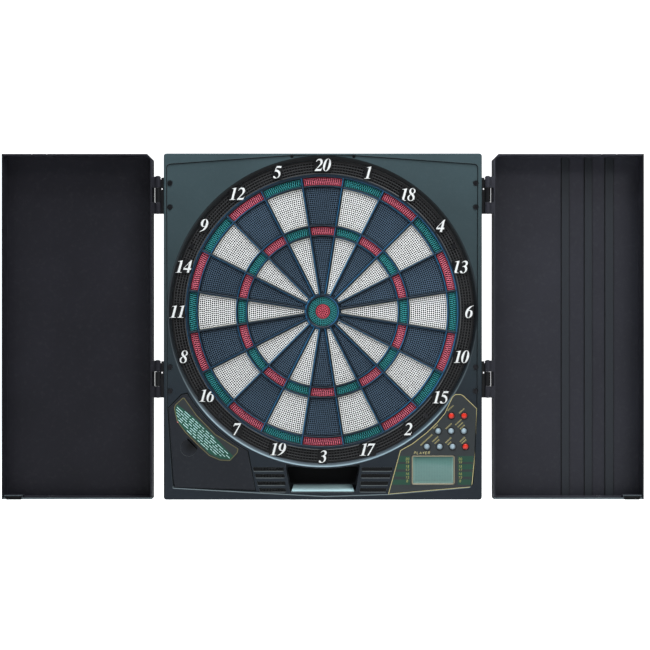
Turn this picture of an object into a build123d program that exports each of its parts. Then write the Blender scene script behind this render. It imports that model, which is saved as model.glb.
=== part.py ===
from build123d import *
import math
import os

# Electronic dartboard in a two-door wall cabinet.
# Frame: origin on the wall plane (the back face of the rear cover) in line with
# the bull's centre. +X right, +Z up, the player stands on the -Y side.
# Depths are given as h, the height above the wall: y = -h.

CUT = Mode.SUBTRACT
SIDES = (-1, 1)          # left, right

# ---------------------------------------------------------------- housing
BODY_HALF_W = 232.5
BODY_TOP = 231.0         # top edge above the bull
BODY_BOT = -275.0        # bottom edge below the bull
BODY_W = 2 * BODY_HALF_W
BODY_H = BODY_TOP - BODY_BOT
BODY_ZC = (BODY_TOP + BODY_BOT) / 2
BODY_DEPTH = 46.0        # rim plane
FACE_H = 44.5            # recessed front face
PLATE_T = 3.0            # front plate thickness
PLATE_BACK = FACE_H - PLATE_T
WALL_T = 3.0             # side wall thickness
COVER_T = 2.5            # rear cover thickness

# ---------------------------------------------------------------- target
DOUBLE_OUT = 196.2       # outer edge of the double segments
DOUBLE_IN = 185.4
SINGLE_OUT = 181.8       # outer single
SINGLE_MID = 127.6
TREBLE_OUT = 124.0
TREBLE_IN = 112.8
INNER_OUT = 109.5        # inner single
INNER_IN = 27.4
BULL_OUT = 21.2          # outer bull
BULL_MID = 10.8
BULL_IN = 10.2           # inner bull
SPIDER_R = 200.6         # outer ring of the spider
SEG_FACE = 40.5          # front face of the segments
BULL_FACE = SEG_FACE + 1.0
SEG_BACK = 32.0
SEG_FLANGE_T = 2.0       # retaining flange behind the spider's ribs
SEG_FLANGE_W = 1.3       # how far the flange stands out
SEG_TRAVEL = 1.5         # switch travel
SPOKE_HALF = 2.1         # half the gap between two numbers' segments
RIB_HALF = 1.6           # half a spoke's width
RIB_GAP = 0.5            # gap between a ring rib and its segments
SPIDER_CREST = 43.5      # crest of the spider's ribs
SPIDER_FOOT = 34.3       # rear face of the ribs, in front of the flanges
FLANGE_FRONT = SPIDER_FOOT + 4.0
FRAME_R = 221.5          # radius of the target frame
WELL_R = 222.0           # bore of the housing's collar
WELL_MOUTH_R = 227.0     # mouth of the well in the front face
COLLAR_T = 2.5
COLLAR_BACK = 25.8
RING_H = 41.0            # front face of the number ring
ORDER = [20, 1, 18, 4, 13, 6, 10, 15, 2, 17, 3, 19, 7, 16, 8, 11, 14, 9, 12, 5]
PITCH = 360 / len(ORDER)
DOUBLE_MID = (DOUBLE_IN + DOUBLE_OUT) / 2
TREBLE_MID = (TREBLE_IN + TREBLE_OUT) / 2

NUMERAL_R = 214.6        # centres of the numerals at the top and the sides
NUMERAL_H = 18.2         # numeral height
NUMERAL_DROP = 2.6       # how far the bottom numeral is pulled in
GLYPH_SCALE = 0.97       # horizontal scale of a digit
GLYPH_STEP = 0.985       # advance from one digit to the next, as a share of its width
PAD_H = 42.6             # front face of the numeral pads
PAD_R = 224.6            # outer limit of the pads

# ---------------------------------------------------------------- doors
HINGE_X = 240.9          # hinge axis from the centre line
HINGE_H = 46.0           # hinge axis above the wall
DOOR_NEAR = 249.7        # hinge-side edge, door open
DOOR_FAR = 469.1         # free edge, door open
DOOR_TOP = 230.3
DOOR_BOT = -274.3
DOOR_ZC = (DOOR_TOP + DOOR_BOT) / 2
DOOR_RIM = 45.8          # rim plane, door open
DOOR_BACK = 12.0         # outside of the panel, door open
DOOR_T = 2.2             # moulding thickness
DOOR_CUT = 7.0           # cut corner at the top of the hinge side
KNUCKLE_R = 4.15
PIN_R = 1.5
BORE_R = PIN_R + 0.05
HINGE_ZS = (170.0, -98.7)
HINGE_LEN = 54.0
LEAF_H = 38.4            # rear face of the hinge leaves
LEAF_T = 3.0

# ---------------------------------------------------------------- controls and power
# x, z of each button's centre
BUTTONS = {
    "button_red_1": (187.9, -152.6),
    "button_red_2": (206.6, -152.6),
    "button_grey_1": (168.6, -174.8),
    "button_grey_2": (187.5, -174.8),
    "button_grey_3": (206.2, -174.8),
    "button_grey_4": (152.1, -197.6),
    "button_grey_5": (170.8, -197.6),
    "button_grey_6": (189.7, -197.6),
    "button_red_3": (208.5, -197.6),
}
BUTTON_R = 4.25
BUTTON_HOLE_R = BUTTON_R + 0.35

LCD_X0, LCD_Z0, LCD_X1, LCD_Z1 = 131.1, -251.9, 191.6, -211.7
LCD_XC, LCD_ZC = (LCD_X0 + LCD_X1) / 2, (LCD_Z0 + LCD_Z1) / 2
LCD_W, LCD_H = LCD_X1 - LCD_X0, LCD_Z1 - LCD_Z0

PCB_BACK = 31.2
PCB_T = 1.6
PCB_FRONT = PCB_BACK + PCB_T

JACK_H, JACK_Z = 16, -190         # axis of the power socket in the right wall
SPEAKER_AT = (-76.0, -246.0)

BATT_X, BATT_Z = -35.0, -150.0    # centre of the battery box
BATT_SIZE = 58.0                  # its width and height
BATT_PITCH = 16.5
BATT_AXIS_H = 10.2
BATT_HALF_L = 24.6

# wall fixing: four keyholes
KEY_X = 203.2
KEY_ZS = (190.0, -230.0)

# ---------------------------------------------------------------- measured outlines: x, z
# storage bay for darts under the target: mouth, and outline of its walls
BAY = [(-54.5, -221.0), (54.5, -221.0), (53.9, -229.0),
       (47.5, -264.8), (-47.5, -264.8), (-53.9, -229.0)]
BAY_WALLS = [(-57, -221), (57, -221), (50, -267.4), (-50, -267.4)]
BAY_FLOOR = 14.0
POCKET_WALL_BACK = 12.0  # rear edge of the walls of the bay and the lid's pocket

# panel outline of the scoring unit, lower right
PANEL = [(94.6, -267.9), (112.7, -202.5), (130.5, -192.5), (150.5, -177.0), (166.5, -161.5),
         (177.5, -148.5), (188.6, -124.5), (193.5, -120.3), (201.8, -120.3), (206.0, -122.5),
         (225.9, -141.6), (220.8, -250.4), (219.5, -254.5), (215.0, -257.6), (100.0, -267.4)]
PANEL_SCALE = 0.999      # shrinks the overlay about the bull

# rim seam: inside edge of the raised rim
RIM = [(-229.0, 215.4), (-46.4, 228.5), (44.1, 228.5), (227.0, 215.4),
       (225.9, -141.6), (220.8, -250.4), (215.0, -257.6), (94.6, -267.9),
       (3.2, -270.8), (-80.0, -266.5), (-219.1, -258.7), (-227.8, -139.9)]

PCB = [(84.0, -262.0), (84.0, -214.0), (105.0, -214.5), (112.0, -209.0), (150.0, -183.0),
       (190.0, -143.0), (203.0, -126.0), (221.0, -145.0), (214.0, -252.0), (214.0, -262.0)]
KEYPAD = [(146, -204), (146, -192), (163, -168), (182, -146), (214, -146), (214, -204)]

LABEL = [(-203.4, -124.1), (-184.1, -151.0), (-157.2, -178.6), (-122.9, -200.3),
         (-124.5, -207.0), (-135.5, -218.7), (-150.5, -218.0), (-166.4, -211.3),
         (-184.1, -194.5), (-201.6, -176.8), (-213.5, -160.9), (-218.0, -140.9),
         (-216.0, -135.8)]

GRILLE_ZS = (-230.4, -240.2, -251.1, -260.9)

# pivot axis of the compartment lid: falls slightly towards +X
LID_AXIS_H = FACE_H - 1.3
LID_AXIS_X, LID_AXIS_Z = -221.2, -256.15
LID_AXIS_SLOPE = 0.031

# film tails' window through the foam and the board
TAIL_WINDOW = (96, -186)
TAIL_WINDOW_SIZE = (30, 6)

# numeral outlines, unit height, italic serif: width, loops of u, v (outer first)
DIGITS = {
    "0": (0.673, [
     [(0.673,0.647), (0.671,0.581), (0.662,0.515), (0.648,0.449), (0.629,0.383), (0.604,0.318),
      (0.575,0.255), (0.543,0.198), (0.508,0.146), (0.471,0.1), (0.43,0.06), (0.394,0.031),
      (0.356,0.008), (0.317,-0.008), (0.276,-0.017), (0.234,-0.02), (0.191,-0.017),
      (0.152,-0.007), (0.118,0.011), (0.087,0.035), (0.061,0.066), (0.039,0.103),
      (0.022,0.145), (0.01,0.192), (0.002,0.244), (0,0.302), (0.002,0.367), (0.01,0.432),
      (0.022,0.497), (0.039,0.561), (0.061,0.624), (0.088,0.686), (0.117,0.744), (0.149,0.799),
      (0.184,0.85), (0.223,0.898), (0.26,0.934), (0.302,0.963), (0.349,0.984), (0.399,0.996),
      (0.454,1), (0.494,0.996), (0.53,0.985), (0.562,0.966), (0.591,0.939), (0.616,0.905),
      (0.636,0.864), (0.653,0.818), (0.664,0.766), (0.671,0.709)],
     [(0.523,0.852), (0.522,0.871), (0.52,0.888), (0.516,0.904), (0.511,0.918), (0.504,0.93),
      (0.495,0.94), (0.486,0.948), (0.476,0.953), (0.464,0.956), (0.451,0.958), (0.439,0.956),
      (0.427,0.953), (0.416,0.947), (0.406,0.939), (0.395,0.929), (0.385,0.916), (0.374,0.9),
      (0.363,0.882), (0.352,0.86), (0.34,0.836), (0.314,0.775), (0.288,0.706), (0.263,0.63),
      (0.238,0.545), (0.213,0.452), (0.191,0.362), (0.173,0.283), (0.161,0.216), (0.153,0.161),
      (0.151,0.119), (0.152,0.102), (0.154,0.086), (0.158,0.072), (0.163,0.06), (0.171,0.048),
      (0.179,0.039), (0.189,0.031), (0.199,0.026), (0.211,0.023), (0.224,0.022), (0.242,0.024),
      (0.259,0.03), (0.275,0.039), (0.291,0.053), (0.305,0.07), (0.32,0.092), (0.334,0.119),
      (0.349,0.152), (0.364,0.19), (0.379,0.233), (0.431,0.398), (0.471,0.543), (0.5,0.667),
      (0.517,0.77)],
    ]),
    "1": (0.606, [
     [(0.606,1), (0.381,0.18), (0.373,0.152), (0.368,0.129), (0.363,0.11), (0.361,0.097),
      (0.36,0.088), (0.361,0.076), (0.365,0.067), (0.371,0.058), (0.379,0.052), (0.39,0.047),
      (0.404,0.043), (0.423,0.04), (0.446,0.037), (0.473,0.035), (0.505,0.034), (0.505,0),
      (0,0), (0,0.034), (0.032,0.036), (0.06,0.04), (0.085,0.046), (0.105,0.053),
      (0.122,0.062), (0.135,0.074), (0.148,0.088), (0.159,0.107), (0.169,0.129), (0.177,0.154),
      (0.359,0.805), (0.362,0.82), (0.364,0.831), (0.366,0.84), (0.367,0.846), (0.365,0.867),
      (0.356,0.88), (0.342,0.89), (0.323,0.896), (0.297,0.898), (0.28,0.897), (0.262,0.896),
      (0.243,0.895), (0.225,0.893), (0.206,0.89), (0.209,0.924), (0.282,0.934), (0.358,0.947),
      (0.437,0.963), (0.52,0.98)],
    ]),
    "2": (0.693, [
     [(0.165,0.742), (0.133,0.76), (0.153,0.803), (0.176,0.841), (0.201,0.877), (0.23,0.908),
      (0.261,0.936), (0.295,0.959), (0.332,0.977), (0.37,0.99), (0.41,0.997), (0.452,1),
      (0.495,0.997), (0.534,0.989), (0.569,0.975), (0.6,0.955), (0.628,0.93), (0.651,0.901),
      (0.669,0.869), (0.682,0.834), (0.69,0.795), (0.693,0.754), (0.691,0.72), (0.684,0.685),
      (0.674,0.651), (0.66,0.618), (0.642,0.584), (0.619,0.55), (0.592,0.516), (0.56,0.48),
      (0.523,0.444), (0.482,0.407), (0.195,0.163), (0.397,0.163), (0.433,0.163), (0.465,0.166),
      (0.493,0.171), (0.517,0.177), (0.537,0.185), (0.554,0.196), (0.571,0.211), (0.587,0.23),
      (0.603,0.253), (0.618,0.28), (0.653,0.28), (0.536,0), (0,0), (0,0.035), (0.13,0.17),
      (0.21,0.254), (0.278,0.328), (0.336,0.394), (0.383,0.45), (0.419,0.498), (0.447,0.54),
      (0.469,0.581), (0.484,0.621), (0.493,0.659), (0.496,0.697), (0.491,0.759), (0.475,0.807),
      (0.448,0.841), (0.41,0.861), (0.362,0.868), (0.318,0.863), (0.277,0.848), (0.238,0.823),
      (0.2,0.788)],
    ]),
    "3": (0.679, [
     [(0.192,0.786), (0.161,0.805), (0.212,0.875), (0.267,0.93), (0.328,0.969), (0.393,0.992),
      (0.464,1), (0.499,0.998), (0.531,0.991), (0.562,0.979), (0.59,0.963), (0.616,0.943),
      (0.639,0.919), (0.657,0.893), (0.669,0.864), (0.677,0.834), (0.679,0.801), (0.672,0.743),
      (0.651,0.693), (0.617,0.649), (0.568,0.613), (0.505,0.583), (0.529,0.561), (0.549,0.542),
      (0.567,0.523), (0.581,0.504), (0.593,0.485), (0.602,0.465), (0.609,0.443), (0.614,0.42),
      (0.617,0.394), (0.618,0.366), (0.613,0.305), (0.598,0.247), (0.574,0.192), (0.54,0.142),
      (0.496,0.094), (0.444,0.054), (0.389,0.022), (0.328,-0.001), (0.263,-0.014),
      (0.193,-0.019), (0.159,-0.018), (0.128,-0.014), (0.1,-0.008), (0.074,0.001),
      (0.052,0.012), (0.033,0.026), (0.019,0.041), (0.008,0.058), (0.002,0.077), (0,0.098),
      (0.001,0.113), (0.004,0.126), (0.008,0.139), (0.015,0.15), (0.023,0.16), (0.033,0.168),
      (0.045,0.175), (0.057,0.179), (0.071,0.182), (0.086,0.183), (0.099,0.182), (0.111,0.18),
      (0.122,0.176), (0.132,0.17), (0.141,0.163), (0.15,0.154), (0.159,0.144), (0.168,0.133),
      (0.177,0.12), (0.185,0.107), (0.193,0.094), (0.201,0.083), (0.207,0.073), (0.213,0.066),
      (0.218,0.06), (0.227,0.053), (0.237,0.047), (0.249,0.043), (0.262,0.04), (0.277,0.04),
      (0.302,0.042), (0.327,0.051), (0.349,0.066), (0.37,0.086), (0.39,0.112), (0.407,0.142),
      (0.421,0.173), (0.43,0.206), (0.436,0.241), (0.438,0.277), (0.436,0.317), (0.429,0.354),
      (0.419,0.386), (0.404,0.415), (0.385,0.441), (0.371,0.455), (0.357,0.467), (0.343,0.477),
      (0.328,0.485), (0.313,0.491), (0.296,0.496), (0.277,0.5), (0.256,0.503), (0.232,0.506),
      (0.206,0.508), (0.212,0.54), (0.312,0.568), (0.39,0.604), (0.446,0.649), (0.479,0.702),
      (0.49,0.764), (0.485,0.812), (0.47,0.849), (0.445,0.875), (0.409,0.891), (0.363,0.896),
      (0.343,0.895), (0.324,0.892), (0.307,0.888), (0.29,0.881), (0.275,0.873), (0.259,0.862),
      (0.243,0.848), (0.227,0.83), (0.21,0.81)],
    ]),
    "4": (0.758, [
     [(0.758,1), (0.584,0.363), (0.687,0.363), (0.647,0.22), (0.546,0.22), (0.485,0),
      (0.297,0), (0.357,0.22), (0,0.22), (0.041,0.373), (0.666,1)],
     [(0.512,0.773), (0.1,0.363), (0.397,0.363)],
    ]),
    "5": (0.728, [
     [(0.728,0.98), (0.675,0.82), (0.305,0.82), (0.255,0.707), (0.3,0.699), (0.338,0.691),
      (0.371,0.683), (0.397,0.676), (0.417,0.669), (0.435,0.662), (0.453,0.652), (0.472,0.64),
      (0.492,0.626), (0.512,0.609), (0.551,0.57), (0.581,0.527), (0.602,0.479), (0.615,0.425),
      (0.619,0.367), (0.615,0.306), (0.6,0.248), (0.576,0.194), (0.542,0.143), (0.499,0.095),
      (0.449,0.054), (0.394,0.022), (0.334,-0.001), (0.27,-0.014), (0.201,-0.019),
      (0.165,-0.018), (0.133,-0.014), (0.104,-0.008), (0.077,0.001), (0.054,0.012),
      (0.035,0.026), (0.02,0.041), (0.009,0.058), (0.002,0.076), (0,0.097), (0.001,0.111),
      (0.004,0.125), (0.009,0.137), (0.015,0.148), (0.024,0.158), (0.034,0.167), (0.046,0.173),
      (0.058,0.178), (0.072,0.181), (0.086,0.182), (0.111,0.178), (0.134,0.169), (0.155,0.153),
      (0.174,0.131), (0.19,0.102), (0.204,0.08), (0.219,0.062), (0.236,0.05), (0.255,0.042),
      (0.277,0.04), (0.304,0.042), (0.331,0.051), (0.357,0.066), (0.382,0.086), (0.406,0.112),
      (0.428,0.142), (0.444,0.173), (0.456,0.206), (0.463,0.241), (0.466,0.277), (0.464,0.305),
      (0.459,0.332), (0.452,0.359), (0.441,0.384), (0.427,0.408), (0.41,0.432), (0.391,0.453),
      (0.369,0.472), (0.345,0.489), (0.318,0.504), (0.288,0.517), (0.254,0.527), (0.215,0.535),
      (0.171,0.541), (0.123,0.545), (0.315,0.98)],
    ]),
    "6": (0.712, [
     [(0.703,0.994), (0.712,0.959), (0.612,0.916), (0.521,0.858), (0.44,0.786), (0.368,0.699),
      (0.305,0.599), (0.322,0.606), (0.34,0.611), (0.358,0.615), (0.377,0.617), (0.395,0.618),
      (0.435,0.615), (0.471,0.608), (0.503,0.595), (0.532,0.577), (0.557,0.553), (0.578,0.525),
      (0.594,0.493), (0.606,0.456), (0.613,0.414), (0.615,0.367), (0.611,0.302), (0.598,0.241),
      (0.578,0.185), (0.548,0.134), (0.511,0.088), (0.467,0.048), (0.42,0.018), (0.369,-0.004),
      (0.314,-0.018), (0.255,-0.022), (0.208,-0.019), (0.166,-0.009), (0.129,0.007),
      (0.095,0.029), (0.067,0.057), (0.043,0.091), (0.024,0.13), (0.011,0.174), (0.003,0.223),
      (0,0.277), (0.003,0.336), (0.011,0.395), (0.024,0.453), (0.043,0.509), (0.067,0.564),
      (0.097,0.618), (0.13,0.668), (0.168,0.716), (0.211,0.761), (0.258,0.804), (0.297,0.835),
      (0.335,0.862), (0.373,0.886), (0.41,0.907), (0.447,0.924), (0.487,0.939), (0.532,0.953),
      (0.583,0.967), (0.64,0.981)],
     [(0.433,0.461), (0.432,0.481), (0.43,0.498), (0.425,0.513), (0.419,0.525), (0.411,0.536),
      (0.4,0.544), (0.387,0.551), (0.372,0.556), (0.354,0.558), (0.334,0.559), (0.322,0.559),
      (0.311,0.557), (0.301,0.555), (0.293,0.552), (0.286,0.548), (0.28,0.542), (0.274,0.534),
      (0.267,0.523), (0.26,0.51), (0.253,0.495), (0.238,0.458), (0.224,0.42), (0.211,0.382),
      (0.199,0.343), (0.189,0.303), (0.18,0.265), (0.173,0.229), (0.168,0.196), (0.165,0.166),
      (0.164,0.139), (0.167,0.098), (0.177,0.066), (0.193,0.043), (0.216,0.029), (0.245,0.025),
      (0.265,0.027), (0.284,0.034), (0.302,0.045), (0.319,0.061), (0.334,0.082), (0.349,0.109),
      (0.364,0.141), (0.378,0.177), (0.391,0.218), (0.403,0.263), (0.414,0.308), (0.423,0.351),
      (0.429,0.391), (0.432,0.427)],
    ]),
    "7": (0.693, [
     [(0.693,0.98), (0.135,0), (0,0), (0.486,0.814), (0.3,0.814), (0.254,0.813),
      (0.214,0.811), (0.181,0.807), (0.153,0.801), (0.133,0.794), (0.115,0.783), (0.097,0.769),
      (0.08,0.751), (0.063,0.728), (0.047,0.701), (0.009,0.701), (0.136,0.98)],
    ]),
    "8": (0.693, [
     [(0.264,0.499), (0.264,0.505), (0.24,0.53), (0.22,0.554), (0.203,0.577), (0.19,0.598),
      (0.179,0.619), (0.17,0.639), (0.164,0.66), (0.159,0.682), (0.156,0.706), (0.155,0.731),
      (0.158,0.777), (0.168,0.82), (0.184,0.859), (0.207,0.895), (0.236,0.926), (0.269,0.953),
      (0.306,0.973), (0.346,0.988), (0.389,0.997), (0.435,1), (0.479,0.997), (0.521,0.99),
      (0.559,0.977), (0.594,0.959), (0.625,0.936), (0.649,0.911), (0.668,0.884), (0.682,0.855),
      (0.69,0.824), (0.693,0.791), (0.691,0.76), (0.685,0.731), (0.675,0.704), (0.662,0.679),
      (0.644,0.655), (0.622,0.633), (0.595,0.612), (0.563,0.593), (0.526,0.574), (0.483,0.556),
      (0.483,0.551), (0.51,0.519), (0.533,0.49), (0.553,0.462), (0.569,0.436), (0.582,0.411),
      (0.592,0.388), (0.599,0.363), (0.605,0.337), (0.608,0.31), (0.609,0.283), (0.605,0.23),
      (0.594,0.181), (0.575,0.137), (0.549,0.098), (0.515,0.063), (0.475,0.033), (0.431,0.01),
      (0.383,-0.006), (0.331,-0.016), (0.275,-0.019), (0.227,-0.016), (0.183,-0.008),
      (0.143,0.005), (0.107,0.024), (0.075,0.048), (0.048,0.076), (0.027,0.108), (0.012,0.143),
      (0.003,0.182), (0,0.224), (0.003,0.26), (0.01,0.295), (0.023,0.326), (0.041,0.356),
      (0.064,0.384), (0.093,0.409), (0.127,0.434), (0.167,0.457), (0.212,0.479)],
     [(0.444,0.205), (0.443,0.23), (0.439,0.254), (0.434,0.277), (0.427,0.3), (0.417,0.321),
      (0.404,0.344), (0.386,0.371), (0.363,0.401), (0.335,0.434), (0.302,0.47), (0.27,0.448),
      (0.241,0.426), (0.217,0.403), (0.196,0.38), (0.179,0.356), (0.166,0.331), (0.155,0.303),
      (0.148,0.273), (0.144,0.241), (0.142,0.206), (0.144,0.174), (0.148,0.145), (0.156,0.119),
      (0.166,0.095), (0.18,0.074), (0.196,0.056), (0.215,0.043), (0.235,0.033), (0.258,0.027),
      (0.283,0.025), (0.309,0.027), (0.334,0.033), (0.357,0.044), (0.378,0.058), (0.398,0.077),
      (0.414,0.099), (0.427,0.122), (0.436,0.148), (0.442,0.175)],
     [(0.556,0.796), (0.555,0.823), (0.551,0.847), (0.545,0.87), (0.536,0.89), (0.524,0.908),
      (0.511,0.924), (0.496,0.936), (0.48,0.945), (0.462,0.95), (0.444,0.952), (0.422,0.95),
      (0.402,0.945), (0.383,0.938), (0.367,0.927), (0.352,0.913), (0.34,0.896), (0.33,0.878),
      (0.323,0.857), (0.319,0.833), (0.318,0.808), (0.319,0.785), (0.322,0.763), (0.328,0.741),
      (0.336,0.72), (0.346,0.7), (0.36,0.68), (0.376,0.658), (0.397,0.636), (0.421,0.614),
      (0.449,0.59), (0.473,0.615), (0.493,0.639), (0.51,0.661), (0.524,0.68), (0.534,0.698),
      (0.542,0.716), (0.548,0.734), (0.553,0.754), (0.555,0.775)],
    ]),
    "9": (0.713, [
     [(0.009,-0.015), (0,0.022), (0.102,0.062), (0.194,0.118), (0.275,0.19), (0.346,0.277),
      (0.406,0.379), (0.387,0.372), (0.369,0.366), (0.351,0.362), (0.333,0.36), (0.316,0.359),
      (0.278,0.361), (0.243,0.369), (0.211,0.383), (0.182,0.402), (0.156,0.426), (0.134,0.455),
      (0.117,0.487), (0.105,0.522), (0.098,0.561), (0.095,0.603), (0.099,0.668), (0.112,0.728),
      (0.133,0.785), (0.162,0.837), (0.2,0.885), (0.244,0.926), (0.291,0.959), (0.342,0.982),
      (0.397,0.995), (0.455,1), (0.497,0.997), (0.535,0.99), (0.57,0.977), (0.601,0.959),
      (0.628,0.936), (0.659,0.898), (0.682,0.855), (0.699,0.807), (0.71,0.755), (0.713,0.697),
      (0.71,0.633), (0.7,0.571), (0.683,0.509), (0.66,0.447), (0.63,0.387), (0.594,0.328),
      (0.553,0.274), (0.508,0.223), (0.458,0.177), (0.403,0.135), (0.369,0.112), (0.335,0.091),
      (0.302,0.073), (0.268,0.057), (0.235,0.043), (0.199,0.031), (0.159,0.019), (0.114,0.007),
      (0.064,-0.004)],
     [(0.549,0.852), (0.546,0.888), (0.538,0.917), (0.523,0.937), (0.503,0.949), (0.477,0.953),
      (0.45,0.949), (0.425,0.938), (0.402,0.92), (0.381,0.894), (0.362,0.861), (0.348,0.832),
      (0.336,0.8), (0.324,0.766), (0.313,0.729), (0.302,0.689), (0.293,0.649), (0.286,0.612),
      (0.281,0.577), (0.278,0.545), (0.277,0.515), (0.281,0.482), (0.292,0.455), (0.312,0.437),
      (0.339,0.425), (0.373,0.422), (0.391,0.423), (0.406,0.425), (0.419,0.429), (0.43,0.435),
      (0.439,0.443), (0.446,0.454), (0.455,0.471), (0.464,0.492), (0.475,0.52), (0.486,0.552),
      (0.509,0.624), (0.526,0.69), (0.539,0.75), (0.547,0.804)],
    ]),
}

GREY = (0.24, 0.27, 0.27)
BLACK = (0.05, 0.05, 0.06)
NAVY = (0.12, 0.16, 0.22)
WHITE = (0.9, 0.9, 0.87)
RED = (0.82, 0.16, 0.2)
TEAL = (0.1, 0.45, 0.4)
STEEL = (0.6, 0.6, 0.62)
FILM = (0.75, 0.75, 0.8)

os.makedirs("parts", exist_ok=True)


# ---------------------------------------------------------------- helpers
def at(h):
    """Plane parallel to the wall at height h: local x is X, local y is Z, normal to the player."""
    return Plane(origin=(0, -h, 0), x_dir=(1, 0, 0), z_dir=(0, -1, 0))


def section(x, h=0, z=0):
    """Plane across X: local x is the height above the wall, local y is Z, normal to -X."""
    return Plane(origin=(x, -h, z), x_dir=(0, -1, 0), z_dir=(-1, 0, 0))


def level(z, x=0, h=0, direction=1):
    """Horizontal plane at height z, its normal up (or down for direction -1)."""
    return Plane(origin=(x, -h, z), x_dir=(1, 0, 0), z_dir=(0, 0, direction))


def lid_axis(x):
    """Plane square to the lid's pivot axis where the axis passes x, its normal along +X."""
    z = LID_AXIS_Z - LID_AXIS_SLOPE * (x - LID_AXIS_X)
    return Plane(origin=(x, -LID_AXIS_H, z), x_dir=(0, -1, 0), z_dir=(1, 0, -LID_AXIS_SLOPE))


def save(part, name, shade):
    part.label = name
    part.color = Color(*shade)
    export_step(part, f"parts/{name}.step")


# A sketch drawn in a function doesn't join the caller's part, so it is extruded explicitly.
def discs(h, amount, radius, centres=((0, 0),), mode=Mode.ADD):
    """Equal cylinders along Y, starting at height h."""
    with BuildSketch(at(h)) as shape:
        with Locations(*centres):
            Circle(radius)
    extrude(shape.sketch, amount=amount, mode=mode)


def blocks(h, amount, width, height, centres, mode=Mode.ADD):
    """Equal upright boxes, starting at height h."""
    with BuildSketch(at(h)) as shape:
        with Locations(*centres):
            Rectangle(width, height)
    extrude(shape.sketch, amount=amount, mode=mode)


def polar(radius, deg):
    """Point at a radius and a clock angle from the top, clockwise."""
    angle = math.radians(deg)
    return (radius * math.sin(angle), radius * math.cos(angle))


def outline(points):
    with BuildLine() as edge:
        Polyline(*points, close=True)
    make_face(edge.edges())


def sector(deg, inner, outer, half):
    """One segment centred on clock angle deg, its sides parallel to the spokes at distance half."""
    spread_in = PITCH / 2 - math.degrees(math.asin(half / inner))
    spread_out = PITCH / 2 - math.degrees(math.asin(half / outer))
    inner_start, inner_end = polar(inner, deg - spread_in), polar(inner, deg + spread_in)
    outer_start, outer_end = polar(outer, deg - spread_out), polar(outer, deg + spread_out)
    with BuildLine() as edge:
        Line(inner_start, outer_start)
        ThreePointArc(outer_start, polar(outer, deg), outer_end)
        Line(outer_end, inner_end)
        ThreePointArc(inner_end, polar(inner, deg), inner_start)
    make_face(edge.edges())


def lid_outline(grow):
    """Panel at the lower left whose upper right edge follows the well, grown by grow."""
    radius = 232.0 - grow
    arc_start = polar(radius, 238.6 + 0.25 * grow)
    arc_mid = polar(radius, 223.5)
    arc_end = polar(radius, 208.3 - 0.25 * grow)
    left = (-226.0 - grow, -142.0)
    top = (-205.5 - 0.7 * grow, -121.5 + 0.7 * grow)
    right = (-98.5 + grow, -261.3 - grow)
    bottom = (-217.5 - grow, -257.6 - grow)
    with BuildLine() as edge:
        Line(left, top)
        Line(top, arc_start)
        ThreePointArc(arc_start, arc_mid, arc_end)
        Line(arc_end, right)
        Line(right, bottom)
        Line(bottom, left)
    make_face(edge.edges())


def numeral_loops(i, radius):
    """Outlines of number i of the ring with its box centred at radius."""
    text = str(ORDER[i])
    total = sum(DIGITS[digit][0] for digit in text) * GLYPH_STEP
    xc, zc = polar(radius, PITCH * i)
    x = xc - NUMERAL_H * total / 2
    glyphs = []
    for digit in text:
        width, loops = DIGITS[digit]
        glyphs.append([[(x + NUMERAL_H * GLYPH_SCALE * u, zc + NUMERAL_H * (v - 0.5))
                        for u, v in loop] for loop in loops])
        x += NUMERAL_H * width * GLYPH_STEP
    return glyphs


def place_numeral(i):
    """Pull number i in until it clears the housing."""
    radius = NUMERAL_R - NUMERAL_DROP * max(0.0, -math.cos(math.radians(PITCH * i)))
    while max(math.hypot(*point) for glyph in numeral_loops(i, radius)
              for point in glyph[0]) > PAD_R - 0.5:
        radius -= 0.2
    return numeral_loops(i, radius)


NUMERALS = [place_numeral(i) for i in range(20)]


def numeral_pads(grow):
    for glyphs in NUMERALS:
        xs = [x for glyph in glyphs for x, z in glyph[0]]
        zs = [z for glyph in glyphs for x, z in glyph[0]]
        x0, x1, z0, z1 = min(xs), max(xs), min(zs), max(zs)
        with Locations(((x0 + x1) / 2, (z0 + z1) / 2)):
            RectangleRounded(x1 - x0 + 1.6 + 2 * grow, z1 - z0 + 1.6 + 2 * grow, 2.5)


def hinge_points(x, rise=0):
    """x, z of a point repeated at all four hinges."""
    return [(side * x, z + rise) for side in SIDES for z in HINGE_ZS]


# screw centres
FRONT_SCREWS = [(side * 223.4, z + end * 17.5)
                for side in SIDES for z in HINGE_ZS for end in (1, -1)]
RING_SCREWS = [polar(214.3, deg) for deg in (224.6, 135.4, 296.5, 63.5)]
BOARD_TABS = [polar(241.0, deg) for deg in (45, 163.1, 315)]
COVER_SCREWS = [(-224.0, 120.0), (224.0, 120.0), (-224.0, -30.0), (224.0, -30.0),
                (-160.0, 224.5), (160.0, 224.5), (-80.0, -268.0), (80.0, -268.0),
                (-223.0, -266.5), (223.0, -266.5)]
PILOT_R = 1.55

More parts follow.
